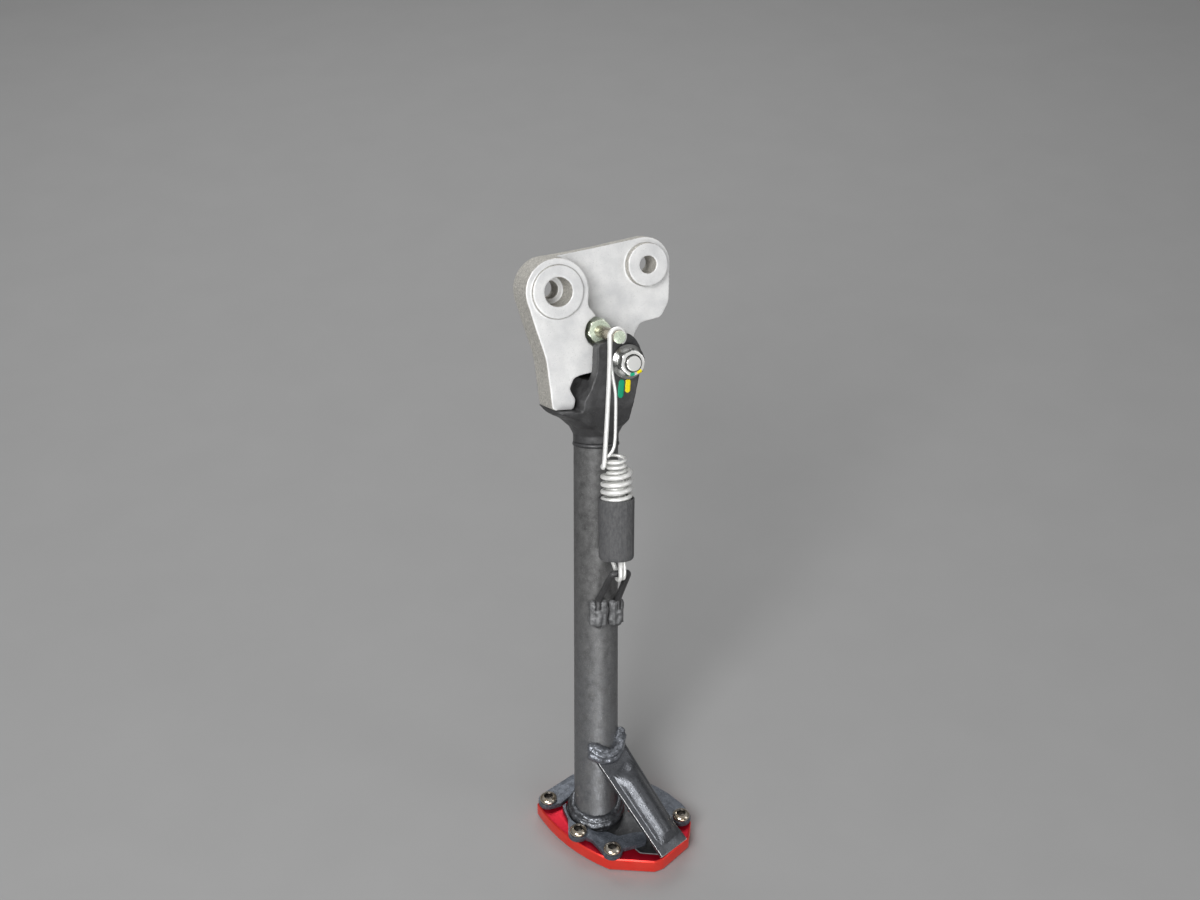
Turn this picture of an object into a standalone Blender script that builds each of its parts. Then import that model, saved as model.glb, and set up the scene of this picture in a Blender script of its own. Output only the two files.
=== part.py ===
"""Motorcycle kickstand: a cast bracket, a swinging leg with a two-screw-clamp foot, and its springs.

Every length below is in millimetres and every angle in degrees; meshes are scaled to metres as
they are built. Three frames are used, each of them an empty:
  leg frame     origin on the pivot axis, +X towards the rear wheel, +Y inboard along the pivot
                axis, +Z up along the leg
  spring frame  origin on the spring's anchor stud, +Z from the lower hook bar to the stud
  ground frame  the world: the sole flat on the ground, +Z up, +X to the rear, +Y inboard
"""
import math

import bmesh
import bpy
from mathutils import Matrix, Vector

MM = 0.001
GAP = 0.3              # clearance between pieces that touch

# how the deployed leg stands
LEAN_OUT = 23.5        # the foot is outboard of the pivot
LEAN_FORWARD = 10.0    # the foot is ahead of the pivot
TUBE_X = -12.7         # the tube's centre line, ahead of the pivot axis
LEG_DROP = 292.5       # pivot down to where the tube's centre line meets the clamp tops

# leg
TUBE_R = 14.0
TUBE_BORE_R = 11.0
NECK_Z = -52.0         # the forged neck ends and the weld groove starts
WELD_GROOVE = 2.6      # its height, down to the tube
EAR_OUT_Y = -20.5
EAR_IN_Y = 23.5
SLOT_OUT_Y = -11.3
SLOT_IN_Y = 15.3

# bracket
LUG_FACE_Y = -10.0
WEB_FACE_Y = 4.0
BACK_Y = 14.0
MOUNT_Y = 17.0
PIVOT_BORE_R = 8.0
PIVOT_BOSS_R = 14.5
FRONT_BOSS = (-41.5, 43.3)
FRONT_BOSS_R = 20.5
REAR_BOSS = (22.0, 57.0)
REAR_BOSS_R = 17.0
MOUNT_HOLE_R = 5.5

# pivot hardware (M10)
BOLT_R = 5.0
BOLT_END_Y = -31.3
HEX_AF = 15.0
FLANGE_R = 10.8

# springs: the stud they hang from, the bar they hook under, and where their axis meets the bar
STUD = Vector((-13.2, -35.5, 17.8))
BAR = Vector((-7.8, -29.0, -130.8))
BAR_HALF = 5.4         # half the length of the bar, between the staple's bends
SPRING_FOOT = Vector((-10.6, -29.0, -130.8))
STUD_HEX_Y = -8.5      # the outboard face of the stud's hexagon
STUD_SHANK_R = 3.8
STUD_NECK_R = 3.0
BAR_ROD_R = 2.2
HOOK_PLAY = 0.5        # play of the lower hooks round the bar, which lets them tilt as the leg folds
OUTER_WIRE_R = 1.4
INNER_WIRE_R = 1.0
OUTER_COIL_R = 8.55    # to the middle of the wire
INNER_COIL_R = 5.35
SLEEVE_R = 11.3
SLEEVE_TOP = -100.1    # in the spring frame
SLEEVE_LENGTH = 38.6

# foot, heights above the ground
PLATE_TOP = 10.0
POCKET_FLOOR = 4.0
SOLE_TOP = 10.0
SOLE_WELD_R = 16.9     # about the tube's centre line
CLAMP_LOW = 10.3
CLAMP_TOP = 13.3
SCREWS = [(-26.0, 17.7), (-19.3, -15.8), (-5.6, -38.5), (46.5, -30.4)]
SCREW_SHANK_R = 2.8
SCREW_HOLE_R = 3.1
LOBE_R = 6.5           # of the clamps, round their screws
SCREW_HEAD_R = 5.6
SCREW_HEAD_H = 3.1


# ---------------------------------------------------------------- scene, frames, materials

def clear_scene():
    for obj in list(bpy.data.objects):
        bpy.data.objects.remove(obj, do_unlink=True)


def leg_rotation():
    """World axes of the leg frame: tip forward about Y, then outboard about X."""
    return (Matrix.Rotation(math.radians(-LEAN_OUT), 4, 'X')
            @ Matrix.Rotation(math.radians(LEAN_FORWARD), 4, 'Y'))


def leg_matrix():
    """Leg frame to world, in millimetres: the centre line meets the clamp tops above the origin."""
    foot_centre = Vector((TUBE_X, 0, -LEG_DROP))
    turn = leg_rotation()
    return Matrix.Translation(Vector((0, 0, CLAMP_TOP)) - turn @ foot_centre) @ turn


def spring_matrix():
    """Spring frame to leg frame: +Z runs up the spring's axis, +Y stays nearly along the pivot."""
    up = (STUD - SPRING_FOOT).normalized()
    side = (Vector((0, 1, 0)) - up * up.y).normalized()
    across = side.cross(up)
    turn = Matrix((across, side, up)).transposed().to_4x4()
    return Matrix.Translation(STUD) @ turn


def to_metres(matrix):
    scaled = matrix.copy()
    scaled.translation = matrix.translation * MM
    return scaled


def empty(name, matrix, parent=None):
    obj = bpy.data.objects.new(name, None)
    obj.empty_display_size = 0.02
    obj.hide_render = True
    bpy.context.collection.objects.link(obj)
    obj.parent = parent
    obj.matrix_basis = to_metres(matrix)
    return obj


def material(name, colour, roughness, metallic):
    mat = bpy.data.materials.new(name)
    mat.use_nodes = True
    shader = mat.node_tree.nodes['Principled BSDF']
    shader.inputs['Base Color'].default_value = (*colour, 1.0)
    shader.inputs['Roughness'].default_value = roughness
    shader.inputs['Metallic'].default_value = metallic
    mat.diffuse_color = (*colour, 1.0)
    return mat


# ---------------------------------------------------------------- outlines

def arc(centre, radius, start, end, steps):
    """Points along a circular arc, both ends included."""
    points = []
    for i in range(steps + 1):
        a = math.radians(start + (end - start) * i / steps)
        points.append((centre[0] + radius * math.cos(a), centre[1] + radius * math.sin(a)))
    return points


def arc_through(p, q, r, steps):
    """Points along the circular arc from p through q to r."""
    d = 2 * (p[0] * (q[1] - r[1]) + q[0] * (r[1] - p[1]) + r[0] * (p[1] - q[1]))
    sq = [v[0] ** 2 + v[1] ** 2 for v in (p, q, r)]
    cx = (sq[0] * (q[1] - r[1]) + sq[1] * (r[1] - p[1]) + sq[2] * (p[1] - q[1])) / d
    cy = (sq[0] * (r[0] - q[0]) + sq[1] * (p[0] - r[0]) + sq[2] * (q[0] - p[0])) / d
    radius = math.hypot(p[0] - cx, p[1] - cy)
    turn = [math.degrees(math.atan2(v[1] - cy, v[0] - cx)) for v in (p, q, r)]
    sweep = (turn[2] - turn[0]) % 360
    if (turn[1] - turn[0]) % 360 > sweep:
        sweep -= 360
    return arc((cx, cy), radius, turn[0], turn[0] + sweep, steps)


def rounded(corners, steps=4):
    """A closed outline from (x, y) or (x, y, fillet radius) corners."""
    outline = []
    count = len(corners)
    for i, corner in enumerate(corners):
        here = Vector(corner[:2])
        if len(corner) < 3:
            outline.append(tuple(here))
            continue
        before = (Vector(corners[i - 1][:2]) - here)
        after = (Vector(corners[(i + 1) % count][:2]) - here)
        half = before.angle(after) / 2
        cut = corner[2] / math.tan(half)
        cut = min(cut, 0.48 * before.length, 0.48 * after.length)
        start = here + before.normalized() * cut
        end = here + after.normalized() * cut
        for k in range(steps + 1):
            t = k / steps
            mid_a = start.lerp(here, t)
            mid_b = here.lerp(end, t)
            outline.append(tuple(mid_a.lerp(mid_b, t)))
    return outline


def grown(outline, distance):
    """The outline moved outwards by a small distance; it must run anticlockwise."""
    moved = []
    count = len(outline)
    for i in range(count):
        before = Vector(outline[i - 1])
        after = Vector(outline[(i + 1) % count])
        along = (after - before).normalized()
        moved.append((outline[i][0] + along.y * distance, outline[i][1] - along.x * distance))
    return moved


def without_repeats(outline, nearest=0.05):
    kept = []
    for p in outline:
        if not kept or math.dist(p, kept[-1]) > nearest:
            kept.append(p)
    if math.dist(kept[0], kept[-1]) <= nearest:
        kept.pop()
    return kept


# ---------------------------------------------------------------- solids

def finish(name, bm, parent, mat, smooth_angle=None):
    """Make an object from a bmesh in millimetres, scaled to metres with its faces pointing out."""
    bmesh.ops.recalc_face_normals(bm, faces=bm.faces)
    bmesh.ops.scale(bm, vec=(MM, MM, MM), verts=bm.verts)
    mesh = bpy.data.meshes.new(name)
    bm.to_mesh(mesh)
    bm.free()
    if smooth_angle:
        mesh.shade_smooth()
        mesh.set_sharp_from_angle(angle=math.radians(smooth_angle))
    if mat:
        mesh.materials.append(mat)
    obj = bpy.data.objects.new(name, mesh)
    obj.parent = parent
    bpy.context.collection.objects.link(obj)
    return obj


def add_prism(bm, outline, low, high, axis):
    """Extrude an outline from low to high. Axis 'Y' takes (x, z) outlines, axis 'Z' (x, y)
    outlines and axis 'X' (y, z) outlines."""
    def place(a, b, h):
        return {'X': (h, a, b), 'Y': (a, h, b), 'Z': (a, b, h)}[axis]

    points = without_repeats(outline)
    bottom = [bm.verts.new(place(a, b, low)) for a, b in points]
    top = [bm.verts.new(place(a, b, high)) for a, b in points]
    bm.faces.new(bottom)
    bm.faces.new(list(reversed(top)))
    for i in range(len(points)):
        k = (i + 1) % len(points)
        bm.faces.new((bottom[i], top[i], top[k], bottom[k]))


def prism(name, outline, low, high, axis, parent, mat=None, smooth_angle=None):
    bm = bmesh.new()
    add_prism(bm, outline, low, high, axis)
    return finish(name, bm, parent, mat, smooth_angle)


def lathe(name, profile, centre, axis, parent, mat=None, sides=32, smooth_angle=35):
    """Spin a closed (radius, height) profile about an axis through centre."""
    bm = bmesh.new()
    rings = []
    for radius, height in profile:
        if radius < 1e-6:
            rings.append([bm.verts.new((0, 0, height))])
            continue
        ring = []
        for x, y in arc((0, 0), radius, 0, 360 - 360 / sides, sides - 1):
            ring.append(bm.verts.new((x, y, height)))
        rings.append(ring)
    open_ends = len(rings[0]) == 1 and len(rings[-1]) == 1
    pairs = list(zip(rings, rings[1:]))
    if not open_ends:
        pairs.append((rings[-1], rings[0]))
    for first, second in pairs:
        for i in range(sides):
            k = (i + 1) % sides
            corners = [first[i % len(first)], first[k % len(first)]]
            corners += [second[k % len(second)], second[i % len(second)]]
            bm.faces.new(list(dict.fromkeys(corners)))
    if axis == 'Y':
        bmesh.ops.rotate(bm, matrix=Matrix.Rotation(math.radians(-90), 3, 'X'), verts=bm.verts)
    bmesh.ops.translate(bm, vec=centre, verts=bm.verts)
    return finish(name, bm, parent, mat, smooth_angle)


def disc(radius, low, high):
    return [(0, low), (radius, low), (radius, high), (0, high)]


def ring(inner, outer, low, high):
    return [(inner, low), (outer, low), (outer, high), (inner, high)]


def drill(name, x, z, radius, low, high, parent, sides=24):
    """A hidden cutter along Y at (x, z) in the leg frame."""
    return hide(lathe(name, disc(radius, low, high), (x, 0, z), 'Y', parent, sides=sides))


def hexagon(across_flats, turn=0.0):
    radius = across_flats / math.sqrt(3)
    return arc((0, 0), radius, turn, turn + 300, 5)


def hide(obj):
    obj.hide_render = True
    obj.display_type = 'WIRE'
    return obj


def combine(obj, other, operation):
    hide(other)
    mod = obj.modifiers.new(operation.title(), 'BOOLEAN')
    mod.operation = operation
    mod.solver = 'EXACT'
    mod.object = other
    return obj


def cut(obj, *cutters):
    for cutter in cutters:
        combine(obj, cutter, 'DIFFERENCE')
    return obj


def join(obj, *others):
    for other in others:
        combine(obj, other, 'UNION')
    return obj


def rod(name, points, radius, parent, mat, resolution=2, closed=False):
    """A round bar swept along points, as a bevelled curve."""
    curve = bpy.data.curves.new(name, 'CURVE')
    curve.dimensions = '3D'
    curve.bevel_depth = radius * MM
    curve.bevel_resolution = resolution
    curve.use_fill_caps = not closed
    spline = curve.splines.new('POLY')
    spline.points.add(len(points) - 1)
    for target, p in zip(spline.points, points):
        target.co = (p[0] * MM, p[1] * MM, p[2] * MM, 1)
    spline.use_cyclic_u = closed
    spline.use_smooth = True
    curve.materials.append(mat)
    obj = bpy.data.objects.new(name, curve)
    obj.parent = parent
    bpy.context.collection.objects.link(obj)
    return obj


def bend(corners, radius, steps=5):
    """A path through 3-D corners with each inner corner rounded."""
    path = [Vector(corners[0])]
    for before, here, after in zip(corners, corners[1:], corners[2:]):
        here = Vector(here)
        back = Vector(before) - here
        on = Vector(after) - here
        cut_back = min(radius / math.tan(back.angle(on) / 2), 0.48 * back.length, 0.48 * on.length)
        start = here + back.normalized() * cut_back
        end = here + on.normalized() * cut_back
        for k in range(steps + 1):
            t = k / steps
            path.append(start.lerp(here, t).lerp(here.lerp(end, t), t))
    path.append(Vector(corners[-1]))
    return path


# ---------------------------------------------------------------- bracket and its hardware

def front_edge():
    """The bracket's front edge from the front boss down to the stop finger and round to the
    pivot boss, anticlockwise."""
    boss = arc(FRONT_BOSS, FRONT_BOSS_R, 112, 205, 9)
    finger = [(-55.0, 19.0, 30), (-49.2, 2.8, 40), (-46.6, -17.0, 20), (-45.0, -29.6, 2.5),
              (-31.0, -29.6, 2.5), (-29.8, -23.5, 1.5), (-33.5, -17.0, 2), (-31.0, -9.5, 6), (-18.0, -7.0, 8)]
    return boss + finger


def bracket(frame, mat):
    pivot_arc = arc((0, 0), PIVOT_BOSS_R, -150, 25, 16)
    rear = [(15.2, 14.0, 5), (19.0, 20.5, 6), (33.0, 23.5, 6), (38.5, 33.0, 10)]
    rear_boss = arc(REAR_BOSS, REAR_BOSS_R, -10, 95, 9)
    web = front_edge() + pivot_arc + rear + rear_boss + [(-12.0, 68.0)]
    obj = prism('bracket', rounded(web, 3), WEB_FACE_Y, BACK_Y, 'Y', frame, mat, 30)

    lug_side = [(-10.0, 20.0, 4), (-21.5, 34.0, 6)]
    boss_side = arc(FRONT_BOSS, FRONT_BOSS_R, 0, 105, 9)
    lug = front_edge() + arc((0, 0), PIVOT_BOSS_R, -150, 96, 20) + lug_side + boss_side
    raised = prism('lug_raised', rounded(lug, 3), LUG_FACE_Y, BACK_Y - 1, 'Y', frame)
    front_centre = (FRONT_BOSS[0], 0, FRONT_BOSS[1])
    rear_centre = (REAR_BOSS[0], 0, REAR_BOSS[1])
    front_ring = lathe('front_boss_ring', disc(16.5, LUG_FACE_Y - 2, 0), front_centre, 'Y', frame)
    rear_ring = lathe('rear_boss_ring', disc(13.5, WEB_FACE_Y - 5, 10), rear_centre, 'Y', frame)
    pad_outline = rounded([(-55.0, 31.0, 8), (34.0, 31.0, 6), (36.0, 62.0, 8), (20.0, 72.5, 6),
                           (-36.0, 62.0, 8), (-54.0, 57.0, 8)], 3)
    pad = prism('mount_pad', pad_outline, BACK_Y - 1, MOUNT_Y, 'Y', frame)
    join(obj, raised, front_ring, rear_ring, pad)

    spot_face = drill('stud_spot_face', STUD.x, STUD.z, 10.2, -40, WEB_FACE_Y, frame)
    stud_hole = drill('stud_hole', STUD.x, STUD.z, 4.3, -5, 30, frame)
    pivot_bore = drill('pivot_bore', 0, 0, PIVOT_BORE_R, -20, 30, frame, 32)
    front_hole = drill('front_hole', *FRONT_BOSS, MOUNT_HOLE_R, -30, 40, frame)
    front_counterbore = drill('front_counterbore', *FRONT_BOSS, 9.0, -30, WEB_FACE_Y, frame)
    rear_hole = drill('rear_hole', *REAR_BOSS, MOUNT_HOLE_R, -30, 40, frame)
    cut(obj, spot_face, stud_hole, pivot_bore, front_hole, front_counterbore, rear_hole)
    return obj


def pivot_bush(frame, mat):
    bore = BOLT_R + GAP
    outer = PIVOT_BORE_R - GAP
    return lathe('pivot_bush', ring(bore, outer, LUG_FACE_Y - 0.6, BACK_Y + 0.6), (0, 0, 0), 'Y', frame, mat)


def spring_anchor_stud(frame, mat):
    """Hex-based stud: thread in the web, hex against the spot face, necked for the hooks."""
    end = STUD.y - 4.9
    profile = [(0, 13.7), (3.9, 13.7), (3.9, WEB_FACE_Y - GAP), (6.6, WEB_FACE_Y - GAP),
               (6.6, STUD_HEX_Y - 0.2), (STUD_SHANK_R, STUD_HEX_Y - 0.2),
               (STUD_SHANK_R, STUD.y + 3.6), (STUD_NECK_R, STUD.y + 3.0),
               (STUD_NECK_R, end + 2.4), (STUD_SHANK_R + 0.2, end + 1.8), (STUD_SHANK_R + 0.2, end + 0.6),
               (STUD_SHANK_R - 0.4, end), (0, end)]
    obj = lathe('spring_anchor_stud', profile, (STUD.x, 0, STUD.z), 'Y', frame, mat, 24)
    points = [(STUD.x + x, STUD.z + z) for x, z in hexagon(14.0, 12)]
    return join(obj, prism('stud_hex', points, STUD_HEX_Y, WEB_FACE_Y - GAP, 'Y', frame))


def pivot_bolt(frame, mat):
    head = EAR_IN_Y + GAP
    profile = [(0, BOLT_END_Y), (BOLT_R - 0.8, BOLT_END_Y), (BOLT_R, BOLT_END_Y + 0.9), (BOLT_R, head),
               (8.6, head), (8.6, head + 1.0), (0, head + 1.0)]
    obj = lathe('pivot_bolt', profile, (0, 0, 0), 'Y', frame, mat, 28)
    return join(obj, prism('bolt_hex', hexagon(HEX_AF, 8), head + 0.5, head + 7.0, 'Y', frame))


def pivot_nut(frame, mat):
    """Flange nut, seated on the outer ear."""
    seat = EAR_OUT_Y - GAP
    profile = [(0, seat), (FLANGE_R, seat), (FLANGE_R, seat - 1.4), (8.6, seat - 2.8),
               (7.0, seat - 3.0), (0, seat - 3.0)]
    obj = lathe('pivot_nut', profile, (0, 0, 0), 'Y', frame, mat, 32)
    join(obj, prism('nut_hex', hexagon(HEX_AF, 20), seat - 9.0, seat - 1.0, 'Y', frame))
    return cut(obj, drill('nut_bore', 0, 0, BOLT_R + GAP, -60, 0, frame))


# ---------------------------------------------------------------- leg

def fork_head(frame, mat):
    """Forged clevis: two ears, a stop toe in front and a round neck with a spigot."""
    top = arc((0, 0), 17.4, 128, 92, 5) + arc((-5.3, 3.5), 14.9, 69, 0, 8)
    side = top + [(8.0, -10.0, 20), (3.9, -29.0, 20), (2.2, -41.0, 20), (1.6, NECK_Z),
                  (-27.0, NECK_Z), (-29.0, -46.0, 10), (-37.5, -37.0, 10), (-43.6, -32.6, 2.5),
                  (-42.6, -30.0, 1.2), (-28.9, -30.0), (-28.3, -24.0, 6), (-23.5, -15.5, 10),
                  (-20.0, -6.0, 12), (-19.2, 11.4, 2.5)]
    obj = prism('fork_head', rounded(side, 3), EAR_OUT_Y, EAR_IN_Y, 'Y', frame, mat, 30)
    front = rounded([(EAR_OUT_Y, 25), (EAR_OUT_Y, -27.0, 14), (-15.5, -43.0, 10),
                     (-14.6, NECK_Z - 1), (14.6, NECK_Z - 1), (15.5, -43.0, 10),
                     (EAR_IN_Y, -27.0, 14), (EAR_IN_Y, 25)])
    combine(obj, prism('fork_front_view', front, -60, 30, 'X', frame), 'INTERSECT')
    neck = [(0, NECK_Z), (TUBE_R + 0.3, NECK_Z), (TUBE_R + 0.3, -47.0), (17.0, -42.0), (24.0, -36.0),
            (34.0, -31.5), (60.0, -24.0), (60.0, 40.0), (0, 40.0)]
    combine(obj, lathe('fork_neck_turned', neck, (TUBE_X, 0, 0), 'Z', frame, sides=40), 'INTERSECT')
    slot_outline = [(-40, -12.0), (20, -12.0), (20, 40), (-40, 40)]
    slot = prism('fork_slot', slot_outline, SLOT_OUT_Y, SLOT_IN_Y, 'Y', frame)
    slot_arc = drill('fork_slot_arc', 0, 0, PIVOT_BOSS_R + 2.4, SLOT_OUT_Y, SLOT_IN_Y, frame, 32)
    bolt_hole = drill('fork_bolt_hole', 0, 0, BOLT_R + GAP, -40, 40, frame)
    cut(obj, slot, slot_arc, bolt_hole)
    spigot = disc(TUBE_BORE_R - 0.4, NECK_Z - 14, NECK_Z + 1)
    return join(obj, lathe('fork_spigot', spigot, (TUBE_X, 0, 0), 'Z', frame))


def fork_weld(frame, mat):
    """A nearly flush ring of weld in the groove between the neck and the tube."""
    inner = TUBE_BORE_R - 0.1
    top = NECK_Z - GAP
    bottom = NECK_Z - WELD_GROOVE + GAP
    profile = [(inner, bottom), (TUBE_R + 0.1, bottom), (TUBE_R + 0.5, (top + bottom) / 2),
               (TUBE_R + 0.1, top), (inner, top)]
    return lathe('fork_weld', profile, (TUBE_X, 0, 0), 'Z', frame, mat, 36, 60)


def ground_z(x, y, height):
    """The leg-frame z at which a line up the leg through (x, y) is at this height."""
    world = leg_matrix()
    up = world.to_3x3().row[2]
    return (height - world.translation.z - up.x * x - up.y * y) / up.z


def leg_tube(frame, mat):
    """Tube with a square top end and a bottom end mitred to the sole."""
    bottom = -LEG_DROP - 40
    profile = ring(TUBE_BORE_R, TUBE_R, bottom, NECK_Z - WELD_GROOVE)
    obj = lathe('leg_tube', profile, (TUBE_X, 0, 0), 'Z', frame, mat, 40)
    for v in obj.data.vertices:
        if v.co.z < (bottom + 1) * MM:
            v.co.z = ground_z(v.co.x / MM, v.co.y / MM, SOLE_TOP + GAP) * MM
    return obj


def around_tube(turn, radius):
    """A point beside the tube; turn is 0 outboard and 90 to the rear."""
    a = math.radians(turn)
    return (TUBE_X + radius * math.sin(a), -radius * math.cos(a))


STAPLE_FEET = [(-17.0, -150.5, -163.3), (33.0, -151.5, -164.0)]   # turn, where it lifts off, its end


def spring_staple(frame, mat):
    """Bent rod welded to the tube's outboard side; the springs hook under its top bar."""
    hug = TUBE_R + BAR_ROD_R + 0.6
    front = around_tube(STAPLE_FEET[0][0], hug)
    rear = around_tube(STAPLE_FEET[1][0], hug)
    corners = [(*front, STAPLE_FEET[0][2]), (*front, STAPLE_FEET[0][1]), BAR - Vector((BAR_HALF, 0, 0)),
               BAR + Vector((BAR_HALF, 0, 0)), (*rear, STAPLE_FEET[1][1]), (*rear, STAPLE_FEET[1][2])]
    return rod('spring_staple', bend(corners, BAR_ROD_R), BAR_ROD_R, frame, mat)


def staple_weld(name, foot, frame, mat):
    """A horseshoe of weld round one foot of the staple."""
    turn, lift, end = foot
    low, high = end - 3.2, lift - 1.0
    inner, outer = TUBE_R + 2 * GAP, TUBE_R + 4.4
    half = 20.0            # degrees each way round the tube
    wall = [around_tube(turn + a, inner) for a in (-half, -half / 2, 0, half / 2, half)]
    crown = [around_tube(turn + a, outer) for a in (0.8 * half, 0.4 * half, 0, -0.4 * half, -0.8 * half)]
    obj = prism(name, wall + crown, low, high, 'Z', frame, mat)
    x, y = around_tube(turn, TUBE_R + BAR_ROD_R + 0.6)
    channel = disc(BAR_ROD_R + GAP, end - GAP, lift + 20)
    return cut(obj, lathe(name + '_channel', channel, (x, y, 0), 'Z', frame, sides=16))


# ---------------------------------------------------------------- foot, in the ground frame

def plate_outline():
    front = arc_through((-33.0, 20.0), (-26.2, -13.0), (-9.5, -42.3), 8)
    toe = [(16.0, -56.0, 3), (22.0, -55.8, 3), (44.5, -46.0, 3), (52.0, -34.0, 4)]
    back = arc_through((52.4, -20.0), (36.0, 12.0), (-3.0, 33.5), 9)
    return rounded(front + toe + back + [(-24.0, 27.5, 5)], 3)


def sole_outline():
    collar = arc((0.3, -1.0), 20.1, -25, 210, 19)
    toe = [(-13.5, -17.0, 4), (-4.0, -27.5, 6), (8.0, -37.5, 3), (10.5, -45.5, 3), (22.5, -52.3, 2),
           (38.5, -45.5, 3), (35.5, -36.0, 6)]
    return rounded(collar + toe, 3)


RING_CENTRE = (-0.3, -0.4)
RING_R = 19.4          # the clamps' inner edge, round the sole's weld


def front_clamp_outline():
    left = [(-20.0, 9.0, 2), (-20.9, -3.0, 8)] + arc(SCREWS[1], LOBE_R, 145, 290, 8)
    waist = [(-14.2, -25.5, 6), (-12.6, -33.0, 6)]
    right_arm = [(2.6, -40.6, 4), (16.6, -41.6, 2), (20.6, -33.4, 2), (12.1, -30.7, 10), (2.4, -29.6, 2.5)]
    round_weld = [(-2.6, -23.2, 5), (-8.5, -21.2, 6)] + arc(RING_CENTRE, RING_R, -130, -212, 9)
    return rounded(left + waist + arc(SCREWS[2], LOBE_R, 170, 345, 9) + right_arm + round_weld)


def rear_clamp_outline():
    inner = arc(RING_CENTRE, RING_R, 130, 20, 12)
    right = [(27.5, 0.0, 12), (37.0, -14.0, 12)] + arc(SCREWS[3], LOBE_R - 0.3, 190, 355, 8)
    back = arc_through((50.4, -17.0), (34.6, 11.0), (-3.0, 31.8), 9)
    left = arc(SCREWS[0], LOBE_R, 105, 275, 8) + [(-20.0, 11.2, 4)]
    return rounded(inner + right + [(51.8, -21.0, 8)] + back + left)


def screw_holes(prefix, indices, radius, low, high, frame):
    holes = []
    for i in indices:
        x, y = SCREWS[i]
        hole = lathe(f'{prefix}_{i + 1}', disc(radius, low, high), (x, y, 0), 'Z', frame, sides=20)
        holes.append(hide(hole))
    return holes


def foot_enlarger(frame, mat):
    """The plate that stands on the ground, with a pocket for the stand's own sole."""
    obj = prism('foot_enlarger', plate_outline(), 0, PLATE_TOP, 'Z', frame, mat, 30)
    pocket = prism('enlarger_pocket', grown(sole_outline(), 0.4), POCKET_FLOOR, 20, 'Z', frame)
    bevel = obj.modifiers.new('Edge', 'BEVEL')
    bevel.width = 0.8 * MM
    bevel.segments = 1
    bevel.limit_method = 'ANGLE'
    bevel.angle_limit = math.radians(60)
    return cut(obj, pocket, *screw_holes('tapped_hole', range(4), SCREW_HOLE_R, 2.0, 20, frame))


def foot_sole(frame, mat):
    return prism('foot_sole', sole_outline(), POCKET_FLOOR + GAP, SOLE_TOP, 'Z', frame, mat, 30)


def clamp(name, outline, indices, frame, mat):
    obj = prism(name, outline, CLAMP_LOW, CLAMP_TOP, 'Z', frame, mat, 30)
    return cut(obj, *screw_holes(name + '_hole', indices, SCREW_HOLE_R, 5, 20, frame))


def foot_screw(index, frame, mat):
    """Button-head screw with a hexagon socket."""
    x, y = SCREWS[index]
    seat = CLAMP_TOP + GAP
    dome_height = SCREW_HEAD_H - 0.5
    dome = []
    for turn in (0, 22, 45, 66):
        a = math.radians(turn)
        dome.append((SCREW_HEAD_R * math.cos(a), seat + 0.5 + dome_height * math.sin(a)))
    profile = [(0, 3.0), (SCREW_SHANK_R, 3.0), (SCREW_SHANK_R, seat), (SCREW_HEAD_R, seat)] + dome
    profile.append((0, seat + SCREW_HEAD_H * 0.93))
    obj = lathe(f'foot_screw_{index + 1}', profile, (x, y, 0), 'Z', frame, mat, 20)
    socket = [(x + a, y + b) for a, b in hexagon(4.0, 17 * index)]
    return cut(obj, hide(prism(f'socket_{index + 1}', socket, seat + 1.2, 30, 'Z', frame)))


def sole_weld(frame, mat):
    """A broad fillet of weld in the corner between the tube and the sole."""
    steps = 36
    section = [(TUBE_R + GAP, GAP), (SOLE_WELD_R, GAP), (SOLE_WELD_R, 2.2), (SOLE_WELD_R - 0.8, 4.2),
               (SOLE_WELD_R - 1.9, 6.6), (TUBE_R + GAP, 8.4)]
    bm = bmesh.new()
    rings = []
    for i in range(steps):
        corners = []
        for radius, lift in section:
            x, y = around_tube(360 * i / steps, radius)
            corners.append(bm.verts.new((x, y, ground_z(x, y, SOLE_TOP + lift))))
        rings.append(corners)
    for i in range(steps):
        here, after = rings[i], rings[(i + 1) % steps]
        for k in range(len(section)):
            m = (k + 1) % len(section)
            bm.faces.new((here[k], after[k], after[m], here[m]))
    return finish('sole_weld', bm, frame, mat, 40)


# the kick tang: a pressed strip from the tube down to the toe of the foot
TANG_TOP = [Vector((0.1, 2.3, 55.0)), Vector((23.4, 14.2, 59.2))]
TANG_TOE = [Vector((20.3, -57.6, 14.0)), Vector((41.4, -50.0, 14.0))]
TANG_THICK = 2.6
TANG_RIB = 5.5
TANG_FLANGE = 3.2


def smooth(edge_a, edge_b, value):
    t = min(1.0, max(0.0, (value - edge_a) / (edge_b - edge_a)))
    return t * t * (3 - 2 * t)


def tang_normal():
    across = TANG_TOE[1] - TANG_TOE[0]
    along = (TANG_TOE[0] + TANG_TOE[1]) - (TANG_TOP[0] + TANG_TOP[1])
    return along.cross(across).normalized()


def tang_point(s, t):
    """The tang's upper face; s runs from the tube to the toe and t from front to rear."""
    flat = TANG_TOP[0].lerp(TANG_TOE[0], s).lerp(TANG_TOP[1].lerp(TANG_TOE[1], s), t)
    ends = smooth(0.20, 0.34, s) * (1 - smooth(0.84, 0.96, s))
    rib = TANG_RIB * ends * math.cos(math.pi / 2 * min(1.0, abs(t - 0.49) / 0.35)) ** 0.8
    flange = TANG_FLANGE * smooth(0.88, 1.0, t) * (1 - smooth(0.80, 1.0, s))
    return flat + tang_normal() * (rib - flange)


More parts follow.
